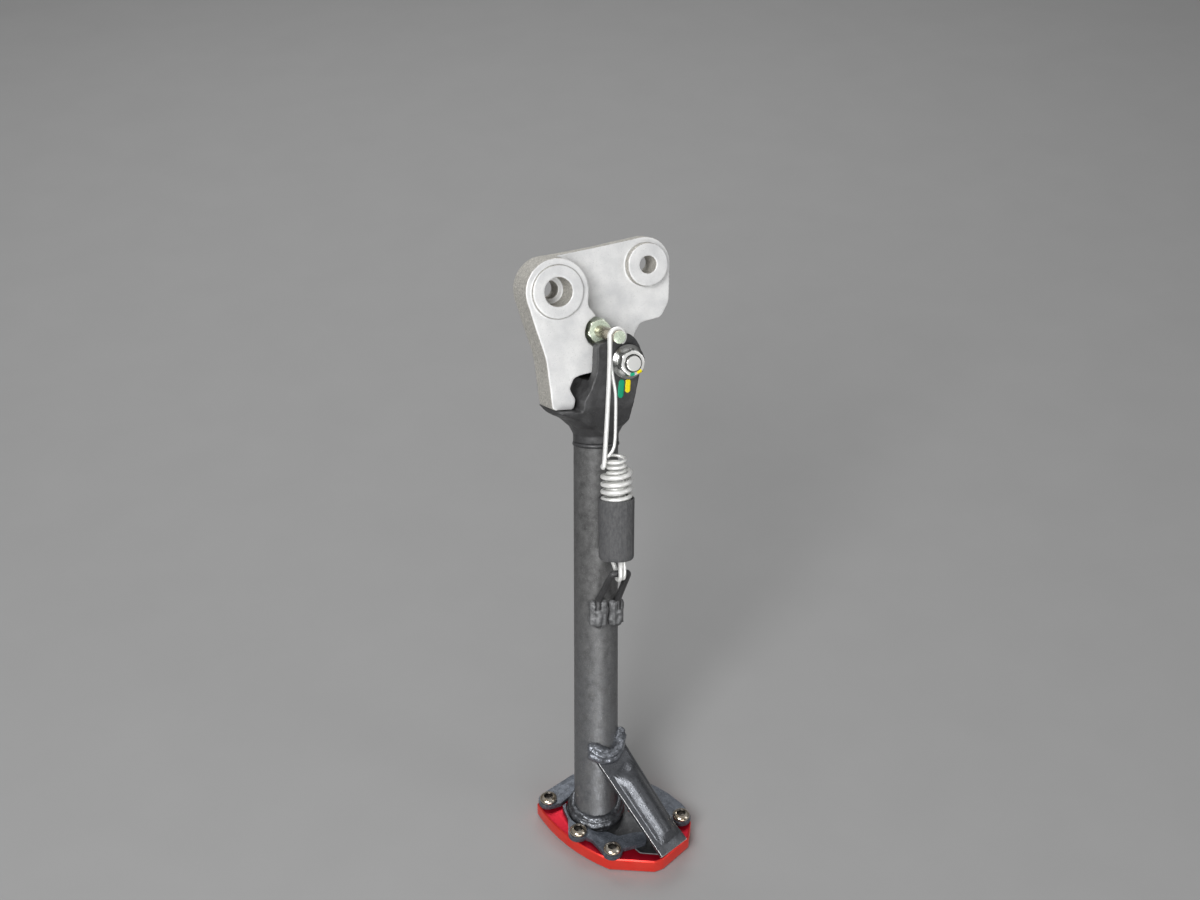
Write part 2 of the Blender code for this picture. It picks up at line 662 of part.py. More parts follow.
def kick_tang(frame, leg_frame, mat):
    rows, columns = 14, 14
    bm = bmesh.new()
    grid = []
    for depth in (0, TANG_THICK):
        layer = [[bm.verts.new(tang_point(i / rows, j / columns) - tang_normal() * depth)
                  for j in range(columns + 1)] for i in range(rows + 1)]
        grid.append(layer)
    for layer in grid:
        for i in range(rows):
            for j in range(columns):
                bm.faces.new((layer[i][j], layer[i + 1][j], layer[i + 1][j + 1], layer[i][j + 1]))
    border = [(0, j) for j in range(columns)] + [(i, columns) for i in range(rows)]
    border += [(rows, columns - j) for j in range(columns)] + [(rows - i, 0) for i in range(rows)]
    for (i, j), (m, n) in zip(border, border[1:] + border[:1]):
        bm.faces.new((grid[0][i][j], grid[0][m][n], grid[1][m][n], grid[1][i][j]))
    obj = finish('kick_tang', bm, frame, mat, 30)
    relief = disc(TUBE_R + GAP, -320, -180)
    return cut(obj, lathe('tang_tube_relief', relief, (TUBE_X, 0, 0), 'Z', leg_frame, sides=40))


def tang_weld(frame, mat):
    """Bead in the corner between the tube and the top of the tang."""
    bead = 2.8
    reach = TUBE_R + bead + GAP + 0.1
    to_leg = leg_matrix().inverted()
    path = []
    for k in range(11):
        near, far = -0.2, 0.4
        while far - near > 1e-4:
            s = (near + far) / 2
            point = to_leg @ (tang_point(s, 0.09 * k - 0.02) + tang_normal() * (bead + GAP))
            if math.hypot(point.x - TUBE_X, point.y) < reach:
                near = s
            else:
                far = s
        path.append(point)
    return rod('tang_weld', path, bead, frame, mat)


def toe_weld(frame, mat):
    """Bead that holds the tang's toe to the sole, under the tang."""
    start = tang_point(0.90, 0.2) - tang_normal() * (TANG_THICK + 2.1)
    end = tang_point(0.90, 0.8) - tang_normal() * (TANG_THICK + 2.1)
    start.z = end.z = SOLE_TOP + GAP + 1.7
    return rod('toe_weld', [start, start.lerp(end, 0.5), end], 1.6, frame, mat)


# ---------------------------------------------------------------- springs, in the spring frame

def coil(radius, top, lead, bottom, turns, steps_per_turn):
    """A helix down the spring's axis that starts in front and winds inboard first. Its first
    three quarters of a turn are steeper, by the lead."""
    count = round(turns * steps_per_turn)
    points = []
    for i in range(count + 1):
        turned = turns * i / count
        a = math.pi - 2 * math.pi * turned
        z = top - lead * min(1, turned / 0.75) + (bottom - top + lead) * i / count
        points.append(Vector((radius * math.cos(a), radius * math.sin(a), z)))
    return points


def spring_path(wire, coil_r, helix, lead_in, top_y, bottom_x, tail):
    """Hook over the stud, wire down to the coils, then a hook under the bar that is turned a
    quarter round from the top one. The lead_in points are in the spring frame; the tail is
    measured from where the hook holds the bar."""
    length = (STUD - SPRING_FOOT).length
    top_hook = STUD_NECK_R + wire + GAP
    low_hook = BAR_ROD_R + wire + HOOK_PLAY
    path = [Vector((x, top_y, z)) for x, z in arc((0, 0), top_hook, -50, 180, 9)]
    path += [Vector(p) for p in lead_in]
    path += coil(coil_r, *helix)
    low_end = path[-1].z
    path.append(Vector((bottom_x * 0.5, -coil_r * 0.8, low_end - 3)))
    path.append(Vector((bottom_x, -low_hook, 5 - length)))
    path += [Vector((bottom_x, y, z)) for y, z in arc((0, -length), low_hook, 180, 375, 9)]
    path += [Vector((x, y, z - length)) for x, y, z in tail]
    return path


def springs(frame, mat):
    outer = spring_path(OUTER_WIRE_R, OUTER_COIL_R, (-79.9, 2.0, -132.0, 10.75, 12),
                        [(-5.3, -0.9, -26.0), (-7.7, -0.5, -71.0)], -1.05, 1.3, [(-2.3, 3.4, 11.0)])
    inner = spring_path(INNER_WIRE_R, INNER_COIL_R, (-73.4, 0.8, -130.5, 16.75, 10),
                        [(-4.0, 1.6, -8.0), (-2.2, 1.2, -24.0), (-0.4, 0.9, -35.0), (-0.4, 0.5, -50.0),
                         (-1.4, 0.1, -67.5)], 1.7, 4.05, [])
    rod('outer_spring', outer, OUTER_WIRE_R, frame, mat, 1)
    rod('inner_spring', inner, INNER_WIRE_R, frame, mat, 1)


def spring_sleeve(frame, mat):
    low = SLEEVE_TOP - SLEEVE_LENGTH
    inner = SLEEVE_R - 0.95
    profile = [(inner, low), (SLEEVE_R - 0.4, low), (SLEEVE_R, low + 1.2), (SLEEVE_R, SLEEVE_TOP),
               (inner, SLEEVE_TOP)]
    return lathe('spring_sleeve', profile, (0, 0, 0), 'Z', frame, mat, 32)


# ---------------------------------------------------------------- assembly

def build():
    clear_scene()
    cast = material('cast_aluminium', (0.72, 0.71, 0.68), 0.50, 0.6)
    zinc = material('zinc_plate', (0.62, 0.63, 0.58), 0.35, 0.9)
    black = material('black_paint', (0.045, 0.047, 0.050), 0.45, 0.3)
    weld = material('weld_metal', (0.20, 0.21, 0.22), 0.45, 0.8)
    red = material('red_anodised', (0.60, 0.01, 0.03), 0.35, 0.6)
    satin = material('satin_black', (0.06, 0.065, 0.08), 0.40, 0.5)
    stainless = material('stainless', (0.60, 0.57, 0.52), 0.28, 1.0)
    bronze = material('bush_bronze', (0.55, 0.40, 0.20), 0.40, 0.9)
    wire = material('spring_wire', (0.75, 0.76, 0.76), 0.35, 0.8)
    rubber = material('rubber', (0.075, 0.075, 0.08), 0.75, 0.0)

    pivot = empty('pivot_axis', leg_matrix())
    anchor = empty('spring_anchor_axis', spring_matrix(), pivot)
    ground = empty('ground_frame', leg_matrix().inverted(), pivot)

    bracket(pivot, cast)
    pivot_bush(pivot, bronze)
    spring_anchor_stud(pivot, zinc)
    pivot_bolt(pivot, zinc)
    pivot_nut(pivot, zinc)

    fork_head(pivot, black)
    fork_weld(pivot, black)
    leg_tube(pivot, black)
    spring_staple(pivot, black)
    staple_weld('staple_weld_front', STAPLE_FEET[0], pivot, weld)
    staple_weld('staple_weld_rear', STAPLE_FEET[1], pivot, weld)

    foot_sole(ground, black)
    sole_weld(pivot, weld)
    kick_tang(ground, pivot, black)
    tang_weld(pivot, weld)
    toe_weld(ground, weld)
    foot_enlarger(ground, red)
    clamp('front_clamp', front_clamp_outline(), (1, 2), ground, satin)
    clamp('rear_clamp', rear_clamp_outline(), (0, 3), ground, satin)
    for i in range(4):
        foot_screw(i, ground, stainless)

    springs(anchor, wire)
    spring_sleeve(anchor, rubber)


build()
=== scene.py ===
"""The motorcycle side stand's looks: detailed pieces, materials, floor, light and camera round
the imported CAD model. Lengths in the constants are in millimetres."""
import math

import bmesh
import bpy
import numpy as np
from mathutils import Matrix, Vector, noise
from mathutils.bvhtree import BVHTree


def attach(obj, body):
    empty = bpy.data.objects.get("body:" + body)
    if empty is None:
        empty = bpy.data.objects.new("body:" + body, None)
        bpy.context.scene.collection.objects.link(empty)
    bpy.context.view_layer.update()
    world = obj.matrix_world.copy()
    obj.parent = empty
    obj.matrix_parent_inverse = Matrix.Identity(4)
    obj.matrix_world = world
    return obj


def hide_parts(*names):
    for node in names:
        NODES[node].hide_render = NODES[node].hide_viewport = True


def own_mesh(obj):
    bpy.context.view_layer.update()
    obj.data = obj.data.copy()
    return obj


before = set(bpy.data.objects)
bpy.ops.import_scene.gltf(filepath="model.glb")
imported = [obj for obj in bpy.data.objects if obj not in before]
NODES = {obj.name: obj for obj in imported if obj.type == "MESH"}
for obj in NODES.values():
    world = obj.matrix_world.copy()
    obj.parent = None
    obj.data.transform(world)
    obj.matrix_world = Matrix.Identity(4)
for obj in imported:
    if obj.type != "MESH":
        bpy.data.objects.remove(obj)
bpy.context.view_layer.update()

MM = 0.001
# the stand's own frames, as in the CAD model
LEAN_OUT = 23.5
LEAN_FORWARD = 10.0
TUBE_X = -12.7
LEG_DROP = 292.5
CLAMP_TOP = 13.3
TUBE_R = 14.0
TUBE_BORE_R = 11.0
NECK_Z = -52.0
WELD_GROOVE = 2.6
SOLE_TOP = 10.0
STUD = Vector((-13.2, -35.5, 17.8))
SPRING_FOOT = Vector((-10.6, -29.0, -130.8))
STUD_HEX_Y = -8.5
STUD_NECK_R = 3.0
BAR_ROD_R = 2.2
HOOK_PLAY = 0.5
GAP = 0.3
OUTER_WIRE_R = 1.4
INNER_WIRE_R = 1.0
STUD_HEX_FLATS = 14.0
PIVOT_HEX_FLATS = 15.0
SLEEVE_TOP = -100.1
SLEEVE_LENGTH = 38.6
SCREWS = [(-26.0, 17.7), (-19.3, -15.8), (-5.6, -38.5), (46.5, -30.4)]

# where the camera stands and what it looks at, in the leg frame
VIEW_AZIMUTH = 21.7
VIEW_ELEVATION = 10.5
VIEW_DISTANCE = 1165.0
VIEW_TARGET = Vector((-9.9, 0.0, -58.0))
LENS = 55.8

# the floor lies a little under the foot, so that the two never share a plane
FLOOR_DROP = 0.4
FLOOR_HALF = 6000.0
SKY_STRENGTH = 0.36


# ---------------------------------------------------------------- frames

def leg_rotation():
    return (Matrix.Rotation(math.radians(-LEAN_OUT), 4, 'X')
            @ Matrix.Rotation(math.radians(LEAN_FORWARD), 4, 'Y'))


def leg_matrix():
    turn = leg_rotation()
    foot_centre = Vector((TUBE_X, 0, -LEG_DROP))
    return Matrix.Translation(Vector((0, 0, CLAMP_TOP)) - turn @ foot_centre) @ turn


def spring_matrix():
    up = (STUD - SPRING_FOOT).normalized()
    side = (Vector((0, 1, 0)) - up * up.y).normalized()
    turn = Matrix((side.cross(up), side, up)).transposed().to_4x4()
    return LEG @ Matrix.Translation(STUD) @ turn


LEG = leg_matrix()
SPRING = spring_matrix()
GROUND = Matrix.Identity(4)
OUTBOARD = LEG.to_3x3() @ Vector((0, -1, 0))
LEG_UP = LEG.to_3x3() @ Vector((0, 0, 1))


# ---------------------------------------------------------------- mesh making

def from_lists(name, points, faces, space=GROUND):
    """A mesh object from points in millimetres in one of the stand's frames."""
    mesh = bpy.data.meshes.new(name)
    mesh.from_pydata([tuple((space @ Vector(p)) * MM) for p in points], [], faces)
    bm = bmesh.new()
    bm.from_mesh(mesh)
    bmesh.ops.remove_doubles(bm, verts=bm.verts, dist=1e-6)
    bmesh.ops.recalc_face_normals(bm, faces=bm.faces)
    bm.to_mesh(mesh)
    bm.free()
    mesh.shade_smooth()
    obj = bpy.data.objects.new(name, mesh)
    bpy.context.scene.collection.objects.link(obj)
    return obj


def skin(name, rings, space, closed=False, sharp=None):
    """Quads between rings of equal length; open ends are capped with a fan round their middle."""
    count = len(rings[0])
    points = [p for ring in rings for p in ring]
    faces = []
    last = len(rings) if closed else len(rings) - 1
    for i in range(last):
        k = (i + 1) % len(rings)
        for j in range(count):
            m = (j + 1) % count
            faces.append((i * count + j, i * count + m, k * count + m, k * count + j))
    if not closed:
        for first in (0, len(rings) - 1):
            ring = [Vector(p) for p in rings[first]]
            middle = sum(ring, Vector()) / count
            if max((p - middle).length for p in ring) < 1e-6:
                continue
            points.append(middle)
            for j in range(count):
                faces.append((first * count + j, first * count + (j + 1) % count, len(points) - 1))
    obj = from_lists(name, points, faces, space)
    if sharp:
        obj.data.set_sharp_from_angle(angle=math.radians(sharp))
    return obj


def turned(name, centre, levels, radius_at, sides):
    """A piece turned about the leg frame's Y: levels are (height, radius), and radius_at may
    reshape each ring."""
    rings = []
    for height, radius in levels:
        ring = []
        for j in range(sides):
            a = 2 * math.pi * j / sides
            r = radius_at(radius, a, height) if radius_at else radius
            ring.append((centre[0] + r * math.cos(a), height, centre[1] + r * math.sin(a)))
        rings.append(ring)
    return skin(name, rings, LEG, sharp=32)


def smooth_path(points, per_span):
    """Catmull-Rom curve through the points."""
    points = [Vector(p) for p in points]
    padded = [2 * points[0] - points[1]] + points + [2 * points[-1] - points[-2]]
    path = []
    for a, b, c, d in zip(padded, padded[1:], padded[2:], padded[3:]):
        for k in range(per_span):
            t = k / per_span
            path.append(0.5 * (2 * b + (c - a) * t + (2 * a - 5 * b + 4 * c - d) * t * t
                               + (3 * b - a - 3 * c + d) * t ** 3))
    path.append(points[-1])
    return path


def sweep(name, path, radius, sides, space):
    """A round wire along a path, with rounded ends."""
    tangents = []
    for i in range(len(path)):
        tangents.append((path[min(i + 1, len(path) - 1)] - path[max(i - 1, 0)]).normalized())
    side = tangents[0].orthogonal().normalized()
    rings = []
    last = len(path) - 1
    for i, (p, t) in enumerate(zip(path, tangents)):
        side = (side - t * side.dot(t)).normalized()
        other = t.cross(side)
        steps = ((0.9, 0.45), (0.45, 0.85), (0.0, 1.0)) if i == 0 else ((0.0, 1.0),)
        if i == last:
            steps = ((0.0, 1.0), (-0.45, 0.85), (-0.9, 0.45))
        for back, share in steps:
            centre = p - t * back * radius * 0.6
            rings.append([centre + (side * math.cos(a) + other * math.sin(a)) * radius * share
                          for a in (2 * math.pi * j / sides for j in range(sides))])
    return skin(name, rings, space)


def bake_modifiers(obj):
    """Replace the object's mesh with its evaluated one and drop the modifiers."""
    bpy.context.view_layer.update()
    evaluated = obj.evaluated_get(bpy.context.evaluated_depsgraph_get())
    mesh = bpy.data.meshes.new_from_object(evaluated)
    obj.modifiers.clear()
    old = obj.data
    obj.data = mesh
    bpy.data.meshes.remove(old)
    return obj


def cad_copy(node, name):
    """A new object with a CAD node's mesh, its split corners joined again."""
    bm = bmesh.new()
    bm.from_mesh(NODES[node].data)
    bmesh.ops.remove_doubles(bm, verts=bm.verts, dist=2e-6)
    mesh = bpy.data.meshes.new(name)
    bm.to_mesh(mesh)
    bm.free()
    obj = bpy.data.objects.new(name, mesh)
    bpy.context.scene.collection.objects.link(obj)
    return obj


def fuse(obj, voxel, rounds):
    """Remesh an object's solids into one skin, voxel millimetres fine, and relax it."""
    remesh = obj.modifiers.new('Remesh', 'REMESH')
    remesh.mode = 'VOXEL'
    remesh.voxel_size = voxel * MM
    relax = obj.modifiers.new('Relax', 'SMOOTH')
    relax.factor = 0.5
    relax.iterations = rounds
    bake_modifiers(obj)
    obj.data.shade_smooth()
    return obj


def softened(node, name, voxel, rounds):
    """A cast, forged or welded shape: the CAD solid remeshed finely with its edges rounded off."""
    return fuse(cad_copy(node, name), voxel, rounds)


def machined(node, name, width, segments):
    """A milled shape: the CAD solid with its flat faces merged and its sharp edges broken."""
    obj = cad_copy(node, name)
    bm = bmesh.new()
    bm.from_mesh(obj.data)
    bmesh.ops.dissolve_limit(bm, angle_limit=math.radians(1.5), verts=bm.verts, edges=bm.edges)
    bm.to_mesh(obj.data)
    bm.free()
    bevel = obj.modifiers.new('Bevel', 'BEVEL')
    bevel.width = width * MM
    bevel.segments = segments
    bevel.limit_method = 'ANGLE'
    bevel.angle_limit = math.radians(28)
    bevel.harden_normals = False
    bake_modifiers(obj)
    obj.data.shade_smooth()
    obj.data.set_sharp_from_angle(angle=math.radians(24))
    return obj


def coordinates(obj):
    co = np.empty(len(obj.data.vertices) * 3)
    obj.data.vertices.foreach_get('co', co)
    return co.reshape(-1, 3)


def vertex_normals(obj):
    no = np.empty(len(obj.data.vertices) * 3)
    obj.data.vertex_normals.foreach_get('vector', no)
    return no.reshape(-1, 3)


def push(obj, amount_at):
    """Move each vertex along its normal by amount_at(position in mm), in millimetres."""
    co, no = coordinates(obj), vertex_normals(obj)
    amount = np.array([amount_at(Vector(p) / MM) for p in co])
    obj.data.vertices.foreach_set('co', (co + no * amount[:, None] * MM).ravel())
    obj.data.update()
    return obj


def rough(scale, amount, seed=0.0):
    """A noise for push: bumps about scale millimetres across."""
    shift = Vector((seed, seed * 1.7, -seed))
    return lambda p: amount * noise.noise(p / scale + shift)


def mark_edges(obj, rounds=2):
    """Store how convex the surface is at each vertex, for wear along the edges and for painted highlights
    along them.
    """
    co, no = coordinates(obj), vertex_normals(obj)
    ends = np.empty(len(obj.data.edges) * 2, dtype=np.int64)
    obj.data.edges.foreach_get('vertices', ends)
    a, b = ends[0::2], ends[1::2]
    span = co[b] - co[a]
    span /= np.maximum(np.linalg.norm(span, axis=1), 1e-9)[:, None]
    total = np.zeros(len(co))
    count = np.zeros(len(co))
    np.add.at(total, a, -(span * no[a]).sum(1))
    np.add.at(total, b, (span * no[b]).sum(1))
    np.add.at(count, a, 1)
    np.add.at(count, b, 1)
    value = total / np.maximum(count, 1)
    for _ in range(rounds):
        spread = value.copy()
        np.add.at(spread, a, value[b])
        np.add.at(spread, b, value[a])
        value = spread / (count + 1)
    layer = obj.data.attributes.new('edge', 'FLOAT', 'POINT')
    layer.data.foreach_set('value', value.astype(np.float32))
    return obj


# ---------------------------------------------------------------- materials

class Shader:
    """Short names for the few nodes that the materials are made of."""

    def __init__(self, name, **plain):
        self.mat = bpy.data.materials.new(name)
        self.mat.use_nodes = True
        self.tree = self.mat.node_tree
        self.bsdf = self.tree.nodes['Principled BSDF']
        self.place = self.tree.nodes.new('ShaderNodeTexCoord').outputs
        for socket, value in plain.items():
            self.bsdf.inputs[socket.replace('_', ' ')].default_value = value

    def put(self, source, socket):
        self.tree.links.new(source, self.bsdf.inputs[socket])

    def stretch(self, factors, rotation=(0, 0, 0)):
        node = self.tree.nodes.new('ShaderNodeMapping')
        node.inputs['Rotation'].default_value = rotation
        node.inputs['Scale'].default_value = factors
        self.tree.links.new(self.place['Object'], node.inputs['Vector'])
        return node.outputs['Vector']

    def noise(self, size, detail=3.0, roughness=0.55, vector=None):
        """Noise with features about size millimetres across."""
        node = self.tree.nodes.new('ShaderNodeTexNoise')
        node.inputs['Scale'].default_value = 1.0 / (size * MM)
        node.inputs['Detail'].default_value = detail
        node.inputs['Roughness'].default_value = roughness
        self.tree.links.new(vector or self.place['Object'], node.inputs['Vector'])
        return node.outputs['Fac']

    def cells(self, size):
        node = self.tree.nodes.new('ShaderNodeTexVoronoi')
        node.inputs['Scale'].default_value = 1.0 / (size * MM)
        self.tree.links.new(self.place['Object'], node.inputs['Vector'])
        return node.outputs['Distance']

    def attribute(self, name):
        node = self.tree.nodes.new('ShaderNodeAttribute')
        node.attribute_name = name
        return node.outputs['Fac']

    def along(self, direction, start, end):
        """0 at start and 1 at end, in millimetres from the origin along a direction."""
        dot = self.tree.nodes.new('ShaderNodeVectorMath')
        dot.operation = 'DOT_PRODUCT'
        dot.inputs[1].default_value = direction
        self.tree.links.new(self.place['Object'], dot.inputs[0])
        return self.remap(dot.outputs['Value'], start * MM, end * MM)

    def facing(self, direction, start, end):
        """0 where the surface turns away from a direction, 1 where it faces it."""
        dot = self.tree.nodes.new('ShaderNodeVectorMath')
        dot.operation = 'DOT_PRODUCT'
        dot.inputs[1].default_value = direction
        self.tree.links.new(self.place['Normal'], dot.inputs[0])
        return self.remap(dot.outputs['Value'], start, end)

    def remap(self, source, low, high, out_low=0.0, out_high=1.0):
        node = self.tree.nodes.new('ShaderNodeMapRange')
        node.inputs['From Min'].default_value = low
        node.inputs['From Max'].default_value = high
        node.inputs['To Min'].default_value = out_low
        node.inputs['To Max'].default_value = out_high
        self.tree.links.new(source, node.inputs['Value'])
        return node.outputs['Result']

    def math(self, operation, first, second, third=None):
        node = self.tree.nodes.new('ShaderNodeMath')
        node.operation = operation
        node.use_clamp = True
        for i, value in enumerate((first, second, third)):
            if isinstance(value, (int, float)):
                node.inputs[i].default_value = value
            elif value is not None:
                self.tree.links.new(value, node.inputs[i])
        return node.outputs['Value']

    def mix(self, factor, first, second):
        node = self.tree.nodes.new('ShaderNodeMix')
        node.data_type = 'RGBA'
        self.tree.links.new(factor, node.inputs[0])
        for socket, value in ((node.inputs[6], first), (node.inputs[7], second)):
            if isinstance(value, tuple):
                socket.default_value = (*value, 1.0)
            else:
                self.tree.links.new(value, socket)
        return node.outputs[2]

    def bump(self, height, distance, normal=None):
        """distance is the height in millimetres between 0 and 1."""
        node = self.tree.nodes.new('ShaderNodeBump')
        node.inputs['Distance'].default_value = distance * MM
        self.tree.links.new(height, node.inputs['Height'])
        if normal:
            self.tree.links.new(normal, node.inputs['Normal'])
        return node.outputs['Normal']


def cast_paint():
    s = Shader('cast_silver_paint', Metallic=0.25)
    smooth_side = s.facing(OUTBOARD, 0.45, 0.8)
    grain = s.noise(1.2, 5.0, 0.75)
    pits = s.cells(1.3)
    stain = s.remap(s.noise(14, 4.0, 0.6), 0.35, 0.7)
    paint = s.mix(stain, (0.78, 0.78, 0.775), (0.62, 0.625, 0.63))
    speck = s.remap(s.noise(0.5, 2.0), 0.62, 0.72)
    paint = s.mix(speck, paint, (0.5, 0.5, 0.5))
    sand = s.mix(s.remap(grain, 0.35, 0.66), (0.26, 0.25, 0.23), (0.66, 0.64, 0.59))
    s.put(s.mix(smooth_side, sand, paint), 'Base Color')
    s.put(s.remap(smooth_side, 0, 1, 0.78, 0.40), 'Roughness')
    coarse = s.math('SUBTRACT', 1.0, smooth_side)
    height = s.math('MULTIPLY', s.math('ADD', s.math('MULTIPLY', grain, 0.7),
                                       s.math('MULTIPLY', pits, 0.3)), coarse)
    s.put(s.bump(s.noise(0.8, 2.0), 0.05, s.bump(height, 0.55)), 'Normal')
    return s.mat


def black_paint(name, base, wear_start, wear_end, metal=(0.21, 0.215, 0.225), edges=True,
                bare_edge_and_highlight=None, gloss=0.0, patchy=0.7):
    """Satin black over steel, worn to grey metal between two heights above the ground."""
    s = Shader(name)
    mottle = s.remap(s.noise(7, 5.0, 0.65), 0.3, 0.72)
    fine = s.noise(0.7, 4.0, 0.7)
    dark = s.mix(mottle, tuple(0.72 * c for c in base), tuple(1.35 * c for c in base))
    dark = s.mix(s.remap(fine, 0.56, 0.70), dark, tuple(2.8 * c for c in base))
    # lighter on up-facing surfaces: dust, and painted light on the tops that face the lamps
    dust = s.math('MULTIPLY', s.facing((0, 0, 1), 0.1, 0.7), s.remap(s.noise(4, 4.0), 0.3, 0.65))
    dark = s.mix(s.math('MULTIPLY', dust, 0.75), dark, tuple(3.5 * c for c in base))
    patch = s.remap(s.noise(5, 6.0, 0.7), 0.38, 0.60)
    height = s.along((0, 0, 1), wear_start, wear_end)
    worn = s.math('MULTIPLY', s.math('ADD', s.math('MULTIPLY', patch, patchy), 1.0 - patchy), height)
    if edges:
        rub = s.math('MULTIPLY', s.remap(s.attribute('edge'), 0.10, 0.30),
                     s.remap(s.noise(1.6, 4.0), 0.40, 0.58))
        worn = s.math('MAXIMUM', worn, s.math('MULTIPLY', rub, 0.75))
    steel = s.mix(s.remap(fine, 0.3, 0.7), tuple(0.6 * c for c in metal), metal)
    colour = s.mix(worn, dark, steel)
    # the edges take the bare colour: metal worn bare, brightened into a painted highlight line along the
    # edges
    if bare_edge_and_highlight:
        colour = s.mix(s.remap(s.attribute('edge'), 0.07, 0.14), colour, bare_edge_and_highlight)
    s.put(colour, 'Base Color')
    s.put(s.remap(worn, 0, 1, 0.1, 0.8), 'Metallic')
    s.put(s.remap(s.noise(3, 4.0), 0.3, 0.7, 0.33 - gloss, 0.48 - gloss), 'Roughness')
    s.put(s.bump(fine, 0.10, s.bump(s.noise(3.5, 3.0), 0.10)), 'Normal')
    return s.mat


def weld_metal(name, tone):
    s = Shader(name, Metallic=0.85)
    patch = s.remap(s.noise(2.2, 5.0, 0.7), 0.35, 0.68)
    colour = s.mix(patch, tuple(0.35 * c for c in tone), tone)
    s.put(colour, 'Base Color')
    s.put(s.remap(s.noise(1.5, 3.0), 0.3, 0.7, 0.24, 0.46), 'Roughness')
    s.put(s.bump(s.noise(1.4, 3.0, 0.5), 0.22), 'Normal')
    return s.mat


def red_anodised():
    s = Shader('red_anodised_aluminium', Metallic=0.7, Specular_IOR_Level=0.3)
    # painted light: the upward faces take a shaded deep red and the sides a lit orange red, lit and
    # shaded copies of one anodised colour
    top = s.facing((0, 0, 1), 0.6, 0.9)
    cloud = s.remap(s.noise(9, 3.0), 0.3, 0.7)
    side = s.mix(cloud, (0.97, 0.058, 0.040), (1.0, 0.080, 0.056))
    shaded_top_red = s.mix(cloud, (0.30, 0.002, 0.012), (0.36, 0.003, 0.015))
    colour = s.mix(top, side, shaded_top_red)
    # painted highlight: a pale orange line along the convex edges
    edge = s.math('MULTIPLY', s.remap(s.attribute('edge'), 0.25, 0.5), 0.35)
    s.put(s.mix(edge, colour, (1.0, 0.30, 0.18)), 'Base Color')
    lines = s.noise(0.35, 2.0, vector=s.stretch((1, 0.04, 1)))
    s.put(s.remap(lines, 0.3, 0.7, 0.30, 0.42), 'Roughness')
    s.put(s.bump(lines, 0.015), 'Normal')
    return s.mat


def satin_coat():
    s = Shader('satin_blue_black', Metallic=0.45)
    fine = s.noise(0.6, 4.0, 0.7)
    cloud = s.remap(s.noise(3, 5.0, 0.65), 0.35, 0.65)
    colour = s.mix(cloud, (0.036, 0.042, 0.053), (0.090, 0.102, 0.124))
    colour = s.mix(s.remap(fine, 0.54, 0.66), colour, (0.20, 0.22, 0.25))
    rub = s.math('MULTIPLY', s.remap(s.attribute('edge'), 0.2, 0.5), s.remap(fine, 0.35, 0.6))
    s.put(s.mix(rub, colour, (0.34, 0.36, 0.40)), 'Base Color')
    s.put(s.remap(s.noise(2, 4.0), 0.3, 0.7, 0.36, 0.50), 'Roughness')
    s.put(s.bump(fine, 0.06), 'Normal')
    return s.mat


def bright_metal(name, tone, tint, low, high, grain=0.04, metallic=0.95, face=None):
    """Plated or stainless steel with a second tint in patches, and face, a painted highlight colour for
    the outboard ends and the convex rims.
    """
    s = Shader(name, Metallic=metallic)
    cloud = s.remap(s.noise(3.5, 4.0, 0.6), 0.35, 0.68)
    dirt = s.remap(s.noise(1.1, 5.0, 0.7), 0.60, 0.74)
    colour = s.mix(cloud, tone, tint)
    colour = s.mix(s.math('MULTIPLY', dirt, 0.55), colour, tuple(0.35 * c for c in tint))
    if face:
        # painted highlight: the outboard faces and the convex rims take the lighter face colour, and the
        # outboard faces are made less metallic so that it shows
        outer = s.facing(OUTBOARD, 0.80, 0.95)
        rim = s.remap(s.attribute('edge'), 0.15, 0.40)
        colour = s.mix(s.math('MAXIMUM', outer, rim), colour, face)
        s.put(s.remap(outer, 0, 1, metallic, 0.35), 'Metallic')
    s.put(colour, 'Base Color')
    s.put(s.remap(s.noise(1.4, 4.0), 0.3, 0.7, low, high), 'Roughness')
    s.put(s.bump(s.noise(0.6, 3.0), grain), 'Normal')
    return s.mat


def sleeve_rubber():
    s = Shader('sleeve_rubber', Metallic=0.0, Specular_IOR_Level=0.35)
    dust = s.remap(s.noise(2.4, 6.0, 0.7), 0.35, 0.75)
    mould_lines_with_sheen = s.remap(s.noise(1.2, 4.0, 0.6, s.stretch((1, 1, 0.10))), 0.35, 0.7)
    colour = s.mix(dust, (0.055, 0.056, 0.060), (0.095, 0.095, 0.098))
    # lighter lengthwise lines: painted sheen along the mould lines, which the bump also raises
    s.put(s.mix(s.math('MULTIPLY', mould_lines_with_sheen, 0.6), colour, (0.13, 0.13, 0.13)), 'Base Color')
    s.put(s.remap(s.noise(1.5), 0.3, 0.7, 0.62, 0.82), 'Roughness')
    s.put(s.bump(mould_lines_with_sheen, 0.08, s.bump(s.noise(0.5, 3.0), 0.05)), 'Normal')
    return s.mat


def marker_paint(name, colour):
    s = Shader(name, Roughness=0.38)
    thin = s.remap(s.noise(0.9, 4.0), 0.3, 0.7)
    s.put(s.mix(thin, colour, tuple(0.8 * c for c in colour)), 'Base Color')
    s.put(s.bump(s.noise(0.8, 3.0), 0.08), 'Normal')
    return s.mat


def floor_paint():
    s = Shader('pale_floor', Roughness=0.75)
    s.put(s.mix(s.noise(60, 3.0), (0.26, 0.26, 0.26), (0.28, 0.28, 0.28)), 'Base Color')
    return s.mat


CAST = cast_paint()
FORGED = black_paint('forged_black_paint', (0.030, 0.030, 0.031), 120, 60)
TUBE_PAINT = black_paint('tube_black_paint', (0.058, 0.058, 0.058), 150, 40, edges=False)
BEAD_PAINT = black_paint('painted_weld', (0.075, 0.076, 0.078), 40, 0)
